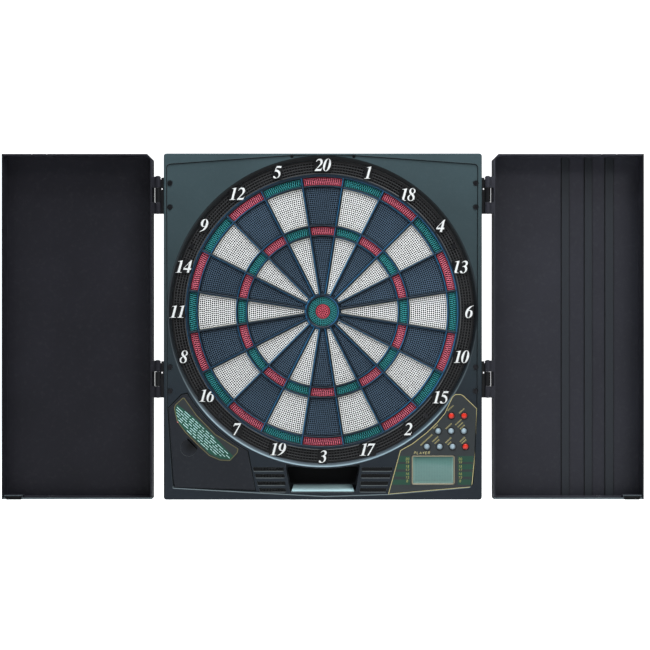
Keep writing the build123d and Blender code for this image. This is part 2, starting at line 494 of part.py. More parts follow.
# ---------------------------------------------------------------- front bezel
with BuildPart() as front_bezel:
    # outer shell, open at the back
    with BuildSketch(at(COVER_T)):
        with Locations((0, BODY_ZC)):
            RectangleRounded(BODY_W, BODY_H, 4.0)
    extrude(amount=BODY_DEPTH - COVER_T)
    fillet(front_bezel.faces().sort_by(Axis.Y)[0].edges(), 1.4)
    with BuildSketch(at(COVER_T)):
        with Locations((0, BODY_ZC)):
            RectangleRounded(BODY_W - 2 * WALL_T, BODY_H - 2 * WALL_T, 2.0)
    extrude(amount=PLATE_BACK - COVER_T, mode=CUT)
    # recessed front face inside the raised rim, its upper side corners rounder
    with BuildSketch(at(FACE_H)):
        outline(RIM)
        fillet([v for v in vertices() if v.Y < 210 or abs(v.X) < 200], 1.2)
        fillet([v for v in vertices() if v.Y > 214 and abs(v.X) > 226], 6.5)
    extrude(amount=4, mode=CUT)
    # collar of the well, the pockets' walls and the screw bosses
    discs(COLLAR_BACK, FACE_H - COLLAR_BACK, WELL_R + COLLAR_T)
    with BuildSketch(at(POCKET_WALL_BACK)):
        lid_outline(2.0)
    extrude(amount=PLATE_BACK - POCKET_WALL_BACK)
    with BuildSketch(at(POCKET_WALL_BACK)):
        outline(BAY_WALLS)
    extrude(amount=PLATE_BACK - POCKET_WALL_BACK)
    discs(COLLAR_BACK, PLATE_BACK - COLLAR_BACK, 4.5, BOARD_TABS)
    discs(COVER_T, PLATE_BACK - COVER_T, 3.6, COVER_SCREWS)
    # the well: straight bore, then a sloped mouth spun about the target's axis
    discs(2.0, 60, WELL_R, mode=CUT)
    with BuildSketch(Plane.XY):
        outline([(0, -RING_H), (WELL_R, -RING_H), (WELL_MOUTH_R, -FACE_H),
                 (WELL_MOUTH_R, -50), (0, -50)])
    revolve(axis=Axis.Y, revolution_arc=360, mode=CUT)
    # notches in the sloped mouth for the numeral pads
    with BuildSketch(at(RING_H)):
        numeral_pads(0.3)
        Circle(PAD_R + 0.3, mode=Mode.INTERSECT)
    extrude(amount=6, mode=CUT)
    # pocket behind the lid, and the lid's seat
    with BuildSketch(at(14.0)):
        lid_outline(-3.0)
    extrude(amount=40, mode=CUT)
    with BuildSketch(at(FACE_H - 2.9)):
        lid_outline(0.25)
    extrude(amount=10, mode=CUT)
    # storage bay, bounded above by the collar
    with BuildSketch(at(BAY_FLOOR)):
        outline(BAY)
        fillet(vertices(), 5.0)
        Circle(WELL_MOUTH_R + COLLAR_T, mode=CUT)
    extrude(amount=40, mode=CUT)
    # sloping floor of the bay: h, z
    with BuildSketch(section(44.5)):
        outline([(13.0, -266.0), (43.5, -266.0), (43.5, -264.3), (13.0, -255.4)])
    extrude(amount=89.0)
    # grille grooves on both sides of the bay
    with BuildSketch(at(FACE_H - 2.0)):
        for k, z in enumerate(GRILLE_ZS):
            for side in SIDES:
                outline([(side * (102.6 - 3.0 * k), z + 2.7), (side * (57.0 - 0.9 * k), z + 2.7),
                         (side * (56.2 - 0.9 * k), z - 2.7), (side * (101.0 - 3.0 * k), z - 2.7)])
    extrude(amount=10, mode=CUT)
    # the left grooves are pierced for the speaker
    blocks(30.0, 20, 2.6, 2.4, [(-62.0 - 4.2 * k, z) for z in GRILLE_ZS for k in range(7)], CUT)
    # scoring unit: window, buttons
    with BuildSketch(at(30.0)):
        with Locations((LCD_XC, LCD_ZC)):
            RectangleRounded(LCD_W + 3.0, LCD_H + 3.0, 2.0)
        with Locations(*BUTTONS.values()):
            Circle(BUTTON_HOLE_R)
    extrude(amount=30, mode=CUT)
    # slots for the hinge leaves
    blocks(38.2, 3.3, 3.6, HINGE_LEN + 0.6, hinge_points(231), CUT)
    # hinge screws, door-catch recesses
    discs(30.0, 30, 2.1, FRONT_SCREWS, CUT)
    discs(FACE_H - 0.6, 5, 4.3, FRONT_SCREWS, CUT)
    discs(FACE_H - 1.2, 8, 2.6, [(-45.3, 226.6), (45.3, 226.6)], CUT)
    # pilot holes in the bosses
    discs(0.0, 38.0, PILOT_R, COVER_SCREWS + BOARD_TABS, CUT)
    # power socket opening in the right wall
    with BuildSketch(section(235, JACK_H, JACK_Z)):
        Circle(4.6)
    extrude(amount=10, mode=CUT)
    # sockets for the lid's pivots
    with BuildSketch(lid_axis(-220.0)):
        Circle(1.0)
    extrude(amount=123.4, mode=CUT)
save(front_bezel.part, "front_bezel", GREY)

# ---------------------------------------------------------------- rear cover
RIB_OUT_W = BODY_W - 2 * WALL_T - 0.5      # outside of the locating rib
RIB_OUT_H = BODY_H - 2 * WALL_T - 0.5
LOCATING_RIB_T = 1.75
BATT_SEAT_T = 1.5

with BuildPart() as rear_cover:
    with BuildSketch(at(0)):
        with Locations((0, BODY_ZC)):
            RectangleRounded(BODY_W, BODY_H, 4.0)
    extrude(amount=COVER_T)
    # locating rib just inside the housing wall, broken at the screw bosses
    with BuildSketch(at(COVER_T)):
        with Locations((0, BODY_ZC)):
            RectangleRounded(RIB_OUT_W, RIB_OUT_H, 2.0)
            RectangleRounded(RIB_OUT_W - 2 * LOCATING_RIB_T, RIB_OUT_H - 2 * LOCATING_RIB_T, 1.0,
                             mode=CUT)
        with Locations(*COVER_SCREWS):
            Circle(5.0, mode=CUT)
    extrude(amount=4.0)
    # stiffening ribs that also carry the target board
    with BuildSketch(at(COVER_T)):
        with Locations((0, 95), (0, -95)):
            Rectangle(360, 2.0)
        with Locations((-110, 0), (110, 0)):
            Rectangle(2.0, 300)
        with Locations((BATT_X, BATT_Z)):
            Rectangle(BATT_SIZE + 6, BATT_SIZE + 6, mode=CUT)
    extrude(amount=19.3)
    # battery box, and the seat for its cover
    blocks(COVER_T, 17.5, BATT_SIZE + 3, BATT_SIZE + 3, [(BATT_X, BATT_Z)])
    blocks(0, 18.5, BATT_SIZE, BATT_SIZE, [(BATT_X, BATT_Z)], CUT)
    blocks(0, BATT_SEAT_T, BATT_SIZE + 8, BATT_SIZE + 8, [(BATT_X, BATT_Z)], CUT)
    # keyholes
    with BuildSketch(at(-1)):
        for x in (-KEY_X, KEY_X):
            for z in KEY_ZS:
                with Locations((x, z)):
                    Circle(5.0)
                with Locations((x, z + 6.5)):
                    Rectangle(5.0, 9.0)
                with Locations((x, z + 11.0)):
                    Circle(2.5)
    extrude(amount=8, mode=CUT)
    # counterbored holes for the cover screws
    discs(-1, 8, 1.9, COVER_SCREWS, CUT)
    discs(0, 1.5, 3.4, COVER_SCREWS, CUT)
    # sound and cooling slots
    with BuildSketch(at(-1)):
        with Locations(*[(x, -258) for x in range(120, 200, 8)]):
            SlotOverall(12, 2.4, rotation=90)
    extrude(amount=8, mode=CUT)
save(rear_cover.part, "rear_cover", BLACK)

with BuildPart() as battery_cover:
    with BuildSketch(at(0)):
        with Locations((BATT_X, BATT_Z)):
            RectangleRounded(BATT_SIZE + 7.4, BATT_SIZE + 7.4, 0.6)
    extrude(amount=1.4)
    # grip grooves
    with BuildSketch(at(0)):
        with Locations(*[(BATT_X, BATT_Z + 18 + 2.4 * k) for k in range(4)]):
            SlotOverall(16, 1.2)
    extrude(amount=0.6, mode=CUT)
save(battery_cover.part, "battery_cover", BLACK)

# three cells, the middle one upside down
with BuildPart() as batteries:
    for k in (-1, 0, 1):
        x = BATT_X + BATT_PITCH * k
        end = 1 if k else -1
        with BuildSketch(level(BATT_Z - BATT_HALF_L, x, BATT_AXIS_H)):
            Circle(7.1)
        extrude(amount=2 * BATT_HALF_L)
        with BuildSketch(level(BATT_Z + end * BATT_HALF_L, x, BATT_AXIS_H, end)):
            Circle(2.7)
        extrude(amount=1.2)
save(batteries.part, "batteries", TEAL)

with BuildPart() as battery_contacts:
    blocks(4.5, 11.0, 11.0, 0.5, [(BATT_X + BATT_PITCH * k, BATT_Z + end * 27.9)
                                  for k in (-1, 0, 1) for end in (-1, 1)])
save(battery_contacts.part, "battery_contacts", STEEL)

# ---------------------------------------------------------------- target frame and spider
# ring ribs: inner and outer radius
RINGS = [(DOUBLE_OUT + RIB_GAP, SPIDER_R),
         (SINGLE_OUT + RIB_GAP, DOUBLE_IN - RIB_GAP),
         (TREBLE_OUT + RIB_GAP, SINGLE_MID - RIB_GAP),
         (INNER_OUT + RIB_GAP, TREBLE_IN - RIB_GAP),
         (BULL_OUT + RIB_GAP, INNER_IN - RIB_GAP)]
SPOKE_START = BULL_OUT + 4.3
SPOKE_END = SPIDER_R - 0.3
FRAME_BACK = 25.5

with BuildPart() as spider_frame:
    with BuildSketch(at(SPIDER_FOOT)):
        for inner, outer in RINGS:
            Circle(outer)
            Circle(inner, mode=CUT)
    extrude(amount=SPIDER_CREST - SPIDER_FOOT)
    # twenty spokes
    with BuildSketch(at(SPIDER_FOOT)):
        with PolarLocations(0, 20, start_angle=90 + PITCH / 2):
            with Locations(((SPOKE_START + SPOKE_END) / 2, 0)):
                Rectangle(SPOKE_END - SPOKE_START, 2 * RIB_HALF)
    extrude(amount=SPIDER_CREST - SPIDER_FOOT)
    # flange under the number ring and the outer wall down to the target board
    with BuildSketch(at(SPIDER_FOOT)):
        Circle(FRAME_R)
        Circle(DOUBLE_OUT + RIB_GAP, mode=CUT)
    extrude(amount=FLANGE_FRONT - SPIDER_FOOT)
    with BuildSketch(at(FRAME_BACK)):
        Circle(FRAME_R)
        Circle(FRAME_R - 3.0, mode=CUT)
    extrude(amount=SPIDER_FOOT - FRAME_BACK + 1.0)
    discs(25.0, 14, PILOT_R, RING_SCREWS, CUT)
save(spider_frame.part, "spider_frame", (0.1, 0.25, 0.3))

# ---------------------------------------------------------------- number ring
with BuildPart() as number_ring:
    with BuildSketch(at(FLANGE_FRONT)):
        Circle(FRAME_R)
        Circle(SPIDER_R + 0.3, mode=CUT)
    extrude(amount=RING_H - FLANGE_FRONT)
    # pads that carry the numerals
    with BuildSketch(at(RING_H)):
        numeral_pads(0)
        Circle(PAD_R, mode=Mode.INTERSECT)
        Circle(SPIDER_R + 0.3, mode=CUT)
    extrude(amount=PAD_H - RING_H)
    discs(30.0, 14, 2.0, RING_SCREWS, CUT)
save(number_ring.part, "number_ring", BLACK)

with BuildPart() as ring_numerals:
    with BuildSketch(at(PAD_H)):
        for glyphs in NUMERALS:
            for glyph in glyphs:
                outline(glyph[0])
    extrude(amount=0.4)
    # the digits' counters, and whatever would reach the spider
    with BuildSketch(at(PAD_H - 0.5)):
        for glyphs in NUMERALS:
            for glyph in glyphs:
                for counter in glyph[1:]:
                    outline(counter)
        Circle(SPIDER_R + 0.4)
    extrude(amount=2, mode=CUT)
save(ring_numerals.part, "ring_numerals", WHITE)

# ---------------------------------------------------------------- target segments
# inner and outer radius of each number's four segments
SEGMENT_BANDS = ((INNER_IN, INNER_OUT), (TREBLE_IN, TREBLE_OUT),
                 (SINGLE_MID, SINGLE_OUT), (DOUBLE_IN, DOUBLE_OUT))

for i, number in enumerate(ORDER):
    with BuildPart() as segments:
        for inner, outer in SEGMENT_BANDS:
            with BuildSketch(at(SEG_BACK)):
                sector(PITCH * i, inner - SEG_FLANGE_W, outer + SEG_FLANGE_W, SPOKE_HALF - 1.5)
            extrude(amount=SEG_FLANGE_T)
            with BuildSketch(at(SEG_BACK)):
                sector(PITCH * i, inner, outer, SPOKE_HALF)
            extrude(amount=SEG_FACE - SEG_BACK)
    save(segments.part, f"segments_{number:02d}", NAVY if i % 2 == 0 else WHITE)

with BuildPart() as outer_bull:
    discs(SEG_BACK, SEG_FLANGE_T, BULL_OUT + SEG_FLANGE_W)
    discs(SEG_BACK, BULL_FACE - SEG_BACK, BULL_OUT)
    chamfer(outer_bull.faces().sort_by(Axis.Y)[0].edges(), 0.6)
    discs(SEG_BACK, 20, BULL_MID, mode=CUT)
    # counterbore that holds the inner bull's flange
    discs(SEG_BACK - 1, SEG_FLANGE_T + 1.3 + SEG_TRAVEL, BULL_MID + 1.6, mode=CUT)
save(outer_bull.part, "outer_bull", TEAL)

with BuildPart() as inner_bull:
    discs(SEG_BACK, SEG_FLANGE_T - 0.5, BULL_IN + SEG_FLANGE_W)
    discs(SEG_BACK, BULL_FACE - SEG_BACK, BULL_IN)
    chamfer(inner_bull.faces().sort_by(Axis.Y)[0].edges(), 0.5)
save(inner_bull.part, "inner_bull", RED)

# ---------------------------------------------------------------- switch stack behind the segments
FILM_R = 215.0
FILM_T = 0.25
NUB_RADII = [*range(40, 101, 30), TREBLE_MID, *range(138, 173, 17), DOUBLE_MID]

with BuildPart() as actuator_mat:
    discs(28.4, 1.0, 216.0)
    # nubs behind the segments and the bulls
    with BuildSketch(at(29.2)):
        for i in range(20):
            for radius in NUB_RADII:
                with Locations(polar(radius, PITCH * i)):
                    Circle(2.2)
        Circle(4.0)
        with PolarLocations(16.4, 8):
            Circle(1.8)
    extrude(amount=1.1)
save(actuator_mat.part, "actuator_mat", (0.35, 0.35, 0.38))

with BuildPart() as matrix_front_film:
    discs(28.1, FILM_T, FILM_R)
save(matrix_front_film.part, "matrix_front_film", FILM)

with BuildPart() as matrix_spacer:
    with BuildSketch(at(27.8)):
        Circle(FILM_R)
        for i in range(20):
            for radius in (70, TREBLE_MID, 155, DOUBLE_MID):
                with Locations(polar(radius, PITCH * i)):
                    Circle(5.0, mode=CUT)
        Circle(5.0, mode=CUT)
    extrude(amount=FILM_T)
save(matrix_spacer.part, "matrix_spacer", (0.85, 0.85, 0.85))

# side profile of a film tail: h, z
TAIL = [(27.6, -186.0), (20.3, -186.0), (20.3, -215.0), (31.0, -215.0),
        (31.0, -214.7), (20.6, -214.7), (20.6, -186.3), (27.6, -186.3)]

with BuildPart() as matrix_rear_film:
    discs(27.5, FILM_T, FILM_R)
    # two tails fold back through the board to the scoring unit
    for x in (94.0, 108.0):
        with BuildSketch(section(x)):
            outline(TAIL)
        extrude(amount=10)
save(matrix_rear_film.part, "matrix_rear_film", FILM)

with BuildPart() as foam_pad:
    with BuildSketch(at(25.6)):
        Circle(214.0)
        with Locations(TAIL_WINDOW):
            Rectangle(*TAIL_WINDOW_SIZE, mode=CUT)
    extrude(amount=1.8)
save(foam_pad.part, "foam_pad", (0.2, 0.2, 0.2))

BOARD_BACK = 22.0
TAB_SHIFT = 0.955        # tab centre as a share of its screw's radius
with BuildPart() as backing_board:
    with BuildSketch(at(BOARD_BACK)):
        Circle(221.0)
        for x, z in BOARD_TABS:
            angle = math.degrees(math.atan2(z, x))
            with Locations(Location((x * TAB_SHIFT, z * TAB_SHIFT, 0), (0, 0, angle))):
                Rectangle(34.0, 14.0)
        with Locations(*BOARD_TABS):
            Circle(2.0, mode=CUT)
        with Locations(TAIL_WINDOW):
            Rectangle(*TAIL_WINDOW_SIZE, mode=CUT)
    extrude(amount=3.4)
save(backing_board.part, "backing_board", (0.45, 0.33, 0.2))

# ---------------------------------------------------------------- scoring unit
# components on the back of the board: x, z, width, height, thickness
COMPONENTS = ((150, -232, 18, 18, 2.2), (176, -238, 10, 5, 3.0), (120, -240, 8, 8, 5.0))

with BuildPart() as main_circuit_board:
    with BuildSketch(at(PCB_BACK)):
        outline(PCB)
    extrude(amount=PCB_T)
    for x, z, width, height, thickness in COMPONENTS:
        blocks(PCB_BACK - thickness, thickness, width, height, [(x, z)])
save(main_circuit_board.part, "main_circuit_board", (0.1, 0.35, 0.15))

with BuildPart() as lcd_module:
    blocks(PCB_FRONT, 7.2, LCD_W + 4.0, LCD_H + 3.0, [(LCD_XC, LCD_ZC)])
save(lcd_module.part, "lcd_module", (0.42, 0.6, 0.56))

WINDOW_BACK = 40.1
WINDOW_FLANGE_T = 1.3
with BuildPart() as lcd_window:
    with BuildSketch(at(WINDOW_BACK)):
        with Locations((LCD_XC, LCD_ZC)):
            Rectangle(LCD_W + 5.0, LCD_H + 4.0)
            Rectangle(LCD_W - 2.0, LCD_H - 2.0, mode=CUT)
    extrude(amount=WINDOW_FLANGE_T)
    with BuildSketch(at(WINDOW_BACK + WINDOW_FLANGE_T)):
        with Locations((LCD_XC, LCD_ZC)):
            RectangleRounded(LCD_W + 2.4, LCD_H + 2.4, 1.8)
    extrude(amount=2.4)
save(lcd_window.part, "lcd_window", (0.5, 0.68, 0.62))

with BuildPart() as control_panel_overlay:
    with BuildSketch(at(FACE_H)):
        outline([(x * PANEL_SCALE, z * PANEL_SCALE) for x, z in PANEL])
        offset(amount=-1.3)
        with Locations((LCD_XC, LCD_ZC)):
            RectangleRounded(LCD_W + 3.0, LCD_H + 3.0, 2.0, mode=CUT)
        with Locations(*BUTTONS.values()):
            Circle(BUTTON_HOLE_R, mode=CUT)
    extrude(amount=0.4)
save(control_panel_overlay.part, "control_panel_overlay", (0.12, 0.14, 0.14))

KEYPAD_T = 1.0
with BuildPart() as button_keypad:
    with BuildSketch(at(PCB_FRONT)):
        outline(KEYPAD)
    extrude(amount=KEYPAD_T)
    discs(PCB_FRONT + KEYPAD_T, 0.9, 3.2, BUTTONS.values())
save(button_keypad.part, "button_keypad", (0.75, 0.75, 0.75))

for name, centre in BUTTONS.items():
    with BuildPart() as button:
        discs(36.0, 10.6, BUTTON_R, [centre])
        fillet(button.faces().sort_by(Axis.Y)[0].edges(), 1.6)
        # flange behind the front plate
        discs(37.2, 1.6, BUTTON_R + 1.6, [centre])
    save(button.part, name, (0.85, 0.15, 0.08) if "red" in name else (0.65, 0.72, 0.78))

with BuildPart() as speaker:
    discs(36.6, 2.4, 17.5, [SPEAKER_AT])
    discs(30.0, 7.0, 9.0, [SPEAKER_AT])
    discs(37.4, 3.0, 14.5, [SPEAKER_AT], CUT)
save(speaker.part, "speaker", BLACK)

JACK_MOUTH_X = 231.8
JACK_NOSE = 2.4
with BuildPart() as dc_jack:
    with BuildSketch(section(JACK_MOUTH_X, JACK_H, JACK_Z)):
        Circle(4.4)
    extrude(amount=JACK_NOSE)
    with BuildSketch(section(JACK_MOUTH_X - JACK_NOSE, JACK_H, JACK_Z)):
        Rectangle(9.6, 10.0)
    extrude(amount=12.0)
    # bore around the centre pin
    with BuildSketch(section(240.0, JACK_H, JACK_Z)):
        Circle(2.75)
        Circle(1.0, mode=CUT)
    extrude(amount=18.0, mode=CUT)
save(dc_jack.part, "dc_jack", BLACK)

# ---------------------------------------------------------------- compartment lid, lower left
LID_T = 2.6
with BuildPart() as compartment_lid:
    with BuildSketch(at(FACE_H - LID_T)):
        lid_outline(-0.25)
    extrude(amount=LID_T)
    # lower edge rounded about the pivot axis
    with BuildSketch(lid_axis(-219.2)):
        Rectangle(6.0, 9.2)
    extrude(amount=122.0, mode=CUT)
    with BuildSketch(lid_axis(-216.6)):
        Circle(LID_T / 2)
        with Locations((0, -2.4)):
            Rectangle(LID_T, 4.8)
    extrude(amount=116.9)
    # pivots
    with BuildSketch(lid_axis(-219.6)):
        Circle(0.9)
    extrude(amount=122.6)
    # finger recess and the latch slot beside it
    with BuildSketch(at(FACE_H - 1.2)):
        with Locations((-196.1, -199.3)):
            Circle(12.3)
        with Locations(Location((-185.0, -188.3, 0), (0, 0, -45))):
            Rectangle(40.0, 14.0, mode=CUT)
    extrude(amount=5, mode=CUT)
    with BuildSketch(at(FACE_H - 4)):
        with Locations(Location((-190.6, -193.6, 0), (0, 0, -45))):
            Rectangle(20.0, 2.4)
    extrude(amount=10, mode=CUT)
save(compartment_lid.part, "compartment_lid", GREY)

with BuildPart() as game_list_label:
    with BuildSketch(at(FACE_H)):
        outline(LABEL)
        fillet(vertices(), 1.5)
    extrude(amount=0.2)
save(game_list_label.part, "game_list_label", (0.1, 0.4, 0.3))


# ---------------------------------------------------------------- doors
def knuckle(side, z, length, arm_end, arm_h):
    """Bored knuckle standing on z, with an arm along X from the hinge axis to arm_end."""
    with BuildSketch(level(z)) as shape:
        with Locations((side * HINGE_X, -HINGE_H)):
            Circle(KNUCKLE_R)
        with Locations((side * (HINGE_X + arm_end) / 2, -arm_h)):
            Rectangle(abs(HINGE_X - arm_end), 6.8)
    extrude(shape.sketch, amount=length)
    with BuildSketch(level(z - 0.01)) as bore:
        with Locations((side * HINGE_X, -HINGE_H)):
            Circle(BORE_R)
    extrude(bore.sketch, amount=length + 0.02, mode=CUT)


def door_tray(side):
    """Shallow tray on the given side, drawn open: its mouth faces the player."""
    def corners(inset):
        near, far = DOOR_NEAR + inset, DOOR_FAR - inset
        bottom, top = DOOR_BOT + inset, DOOR_TOP - inset
        return [(side * near, bottom), (side * far, bottom), (side * far, top),
                (side * (DOOR_NEAR + DOOR_CUT + 0.4 * inset), top),
                (side * near, DOOR_TOP - DOOR_CUT - 0.4 * inset)]

    with BuildSketch(at(DOOR_BACK)) as outer:
        outline(corners(0))
    extrude(outer.sketch, amount=DOOR_RIM - DOOR_BACK)
    fillet(faces().sort_by(Axis.Y)[-1].edges(), 1.8)
    with BuildSketch(at(DOOR_BACK + DOOR_T)) as inner:
        outline(corners(DOOR_T))
    extrude(inner.sketch, amount=60, mode=CUT)


def door_details(side):
    # snap tab in the top wall: two slits and a nub near the free edge, a nub on the bottom wall
    shift = 4.3 if side > 0 else 0.0
    blocks(DOOR_RIM - 22.0, 40, 1.5, 12.0,
           [(side * (x + shift), DOOR_TOP) for x in (403.5, 425.5)], CUT)
    with BuildSketch(at(DOOR_RIM - 3.0)) as nubs:
        with Locations((side * (396.5 + shift), DOOR_TOP - 2.2)):
            Rectangle(9.0, 2.0)
        with Locations((side * (397.0 + 1.2 * shift), DOOR_BOT + 3.4)):
            Rectangle(6.5, 3.4)
    extrude(nubs.sketch, amount=2.6)
    # foot in the bottom wall at the free corner, in a walled recess
    foot_x = side * 452.0
    with BuildSketch(at(DOOR_RIM - 12.0)) as recess:
        with Locations((foot_x, DOOR_BOT)):
            RectangleRounded(24.0, 9.2, 1.5)
    extrude(recess.sketch, amount=40, mode=CUT)
    blocks(DOOR_RIM - 14.0, 2.2, 27.0, 6.2, [(foot_x, DOOR_BOT + 3.1)])
    with BuildSketch(at(DOOR_RIM - 14.0)) as walls:
        with Locations((foot_x, DOOR_BOT + 5.45)):
            Rectangle(27.0, 1.5)
        with Locations((foot_x - 12.8, DOOR_BOT + 3.1), (foot_x + 12.8, DOOR_BOT + 3.1)):
            Rectangle(1.4, 6.2)
    extrude(walls.sketch, amount=14.0)
    with BuildSketch(at(DOOR_RIM - 12.5)) as foot:
        with Locations((foot_x, DOOR_BOT + 1.8)):
            RectangleRounded(22.6, 5.0, 1.0)
    extrude(foot.sketch, amount=11.0)
    # web between the knuckles' arms
    arm_end = DOOR_NEAR + 1
    web_start = 246.2
    for z in HINGE_ZS:
        blocks(DOOR_RIM - 6.8, 3.0, arm_end - web_start, 23.0,
               [(side * (web_start + arm_end) / 2, z + 0.25)])
    # two knuckles a hinge and their arms
    for z in HINGE_ZS:
        knuckle(side, z + HINGE_LEN / 2 - 16.0, 16.0, arm_end, DOOR_RIM - 3.4)
        knuckle(side, z - HINGE_LEN / 2, 16.5, arm_end, DOOR_RIM - 3.4)


with BuildPart() as door_left:
    door_tray(-1)
    door_details(-1)
save(door_left.part, "door_left", (0.14, 0.14, 0.17))

# x spans of the right door's three ribs inside and of the grooves behind them
DOOR_RIBS = ((353.2, 364.0), (387.2, 398.0), (417.6, 429.6))
DOOR_GROOVES = ((355.4, 361.8), (389.4, 395.8), (419.8, 427.4))

with BuildPart() as door_right:
    door_tray(1)
    with BuildSketch(at(DOOR_BACK + DOOR_T - 0.1)):
        for x0, x1 in DOOR_RIBS:
            with Locations(((x0 + x1) / 2, DOOR_ZC)):
                Rectangle(x1 - x0, DOOR_TOP - DOOR_BOT - 2 * DOOR_T)
    extrude(amount=2.3)
    with BuildSketch(at(DOOR_BACK)):
        for x0, x1 in DOOR_GROOVES:
            with Locations(((x0 + x1) / 2, DOOR_ZC)):
                Rectangle(x1 - x0, DOOR_TOP - DOOR_BOT)
    extrude(amount=1.8, mode=CUT)
    door_details(1)
save(door_right.part, "door_right", (0.2, 0.2, 0.23))

# ---------------------------------------------------------------- hinges
STRIP_X = 234.5
STRIP_L = HINGE_LEN - 3.7
with BuildPart() as hinge_leaves:
    for side in SIDES:
        for z in HINGE_ZS:
            # plate behind the front face and the strip beside the housing
            blocks(LEAF_H, LEAF_T, 22.0, HINGE_LEN - 2, [(side * 225.3, z)])
            blocks(LEAF_H, 7.2, 3.6, STRIP_L, [(side * STRIP_X, z - 1.85)])
            # web under the knuckles
            blocks(LEAF_H, LEAF_T, 3.4, STRIP_L, [(side * 237.8, z - 1.85)])
            # middle knuckle
            knuckle(side, z - HINGE_LEN / 2 + 17.0, 20.5, STRIP_X, 42.2)
    # screw holes and a drain hole beside each middle knuckle
    with BuildSketch(at(30)):
        with Locations(*FRONT_SCREWS):
            Circle(1.7)
        with Locations(*hinge_points(235.1, 9.3)):
            Rectangle(2.2, 2.4)
    extrude(amount=17, mode=CUT)
save(hinge_leaves.part, "hinge_leaves", (0.06, 0.06, 0.07))

with BuildPart() as hinge_pins:
    for x, z in hinge_points(HINGE_X):
        with BuildSketch(level(z - HINGE_LEN / 2 - 0.6, x, HINGE_H)):
            Circle(PIN_R)
        extrude(amount=HINGE_LEN + 0.9)
        # head
        with BuildSketch(level(z + HINGE_LEN / 2 + 0.3, x, HINGE_H)):
            Circle(2.6)
        extrude(amount=0.9)
save(hinge_pins.part, "hinge_pins", STEEL)


# ---------------------------------------------------------------- fasteners
def pan_screw(x, z, head_h, direction, length, head_r=3.5, head_t=1.5):
    """Self-tapping screw along Y with a cross recess.

    head_h is the height of the head's underside; direction +1 has the head to the player.
    """
    def facing(h, sign):
        return Plane(origin=(x, -h, z), x_dir=(1, 0, 0), z_dir=(0, -sign, 0))

    with BuildSketch(facing(head_h, direction)) as head:
        Circle(head_r)
    extrude(head.sketch, amount=head_t)
    with BuildSketch(facing(head_h, -direction)) as shank:
        Circle(1.5)
    extrude(shank.sketch, amount=length)
    with BuildSketch(facing(head_h + direction * 0.6, direction)) as cross:
        Rectangle(4.0, 0.8)
        Rectangle(0.8, 4.0)
    extrude(cross.sketch, amount=2, mode=CUT)


with BuildPart() as front_screws:
    for x, z in FRONT_SCREWS:
        pan_screw(x, z, FACE_H - 0.6, 1, 8.0)
    for x, z in RING_SCREWS:
        pan_screw(x, z, RING_H, 1, 8.0)
save(front_screws.part, "front_screws", (0.1, 0.1, 0.1))

with BuildPart() as case_screws:
    for x, z in COVER_SCREWS:
        pan_screw(x, z, 1.5, -1, 12.0, head_r=3.1, head_t=1.3)
    for x, z in BOARD_TABS:
        pan_screw(x, z, BOARD_BACK, -1, 12.0)
save(case_screws.part, "case_screws", STEEL)
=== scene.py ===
"""Electronic dartboard: a pierced target with its number ring, in a housing with two doors,
a scoring panel at the lower right and a lidded compartment at the lower left.

The board hangs upright and faces -Y, with X to the right, Z up and the target's axis on Y.
Shapes are given in mm as (x, z, h), where h is the height above the wall (h = -y).
"""

import math

import bmesh
import bpy
import numpy as np
from mathutils import Matrix, Vector


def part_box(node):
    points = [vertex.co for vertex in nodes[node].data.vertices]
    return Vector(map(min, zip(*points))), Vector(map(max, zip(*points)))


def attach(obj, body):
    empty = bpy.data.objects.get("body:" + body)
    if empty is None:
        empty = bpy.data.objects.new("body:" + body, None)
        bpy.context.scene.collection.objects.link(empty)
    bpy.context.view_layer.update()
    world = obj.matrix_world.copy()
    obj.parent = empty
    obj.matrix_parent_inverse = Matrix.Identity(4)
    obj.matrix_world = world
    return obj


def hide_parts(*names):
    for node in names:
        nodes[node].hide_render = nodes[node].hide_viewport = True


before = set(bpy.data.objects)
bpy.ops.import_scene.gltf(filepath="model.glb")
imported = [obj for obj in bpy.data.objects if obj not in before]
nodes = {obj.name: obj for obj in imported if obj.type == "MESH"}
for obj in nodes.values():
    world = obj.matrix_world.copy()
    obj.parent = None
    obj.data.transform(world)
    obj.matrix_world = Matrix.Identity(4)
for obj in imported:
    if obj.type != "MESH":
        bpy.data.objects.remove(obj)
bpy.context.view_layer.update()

# ---------------------------------------------------------------- main dimensions (mm)
NUMBERS = [20, 1, 18, 4, 13, 6, 10, 15, 2, 17, 3, 19, 7, 16, 8, 11, 14, 9, 12, 5]  # clockwise
SECTOR = 360 // len(NUMBERS)                # degrees for one number
SEG_FACE, SEG_FLANGE, SEG_BACK = 40.5, 34.0, 32.0
SPOKE_HALF = 2.1                            # half of the gap between neighbouring segments
BULL_FACE = 41.5
BAND_TOP, BAND_BACK = 41.0, 38.3            # number ring
PAD_TOP, PAD_R = 42.6, 224.6                # raised pads under the numerals
NUMERAL_R, NUMERAL_H = 214.6, 18.2
BUTTONS = {
    "red_1": (187.9, -152.6), "red_2": (206.6, -152.6), "red_3": (208.5, -197.6),
    "grey_1": (168.6, -174.8), "grey_2": (187.5, -174.8), "grey_3": (206.2, -174.8),
    "grey_4": (152.1, -197.6), "grey_5": (170.8, -197.6), "grey_6": (189.7, -197.6),
}
LCD = (131.1, -251.9, 191.6, -211.7)        # x0, z0, x1, z1

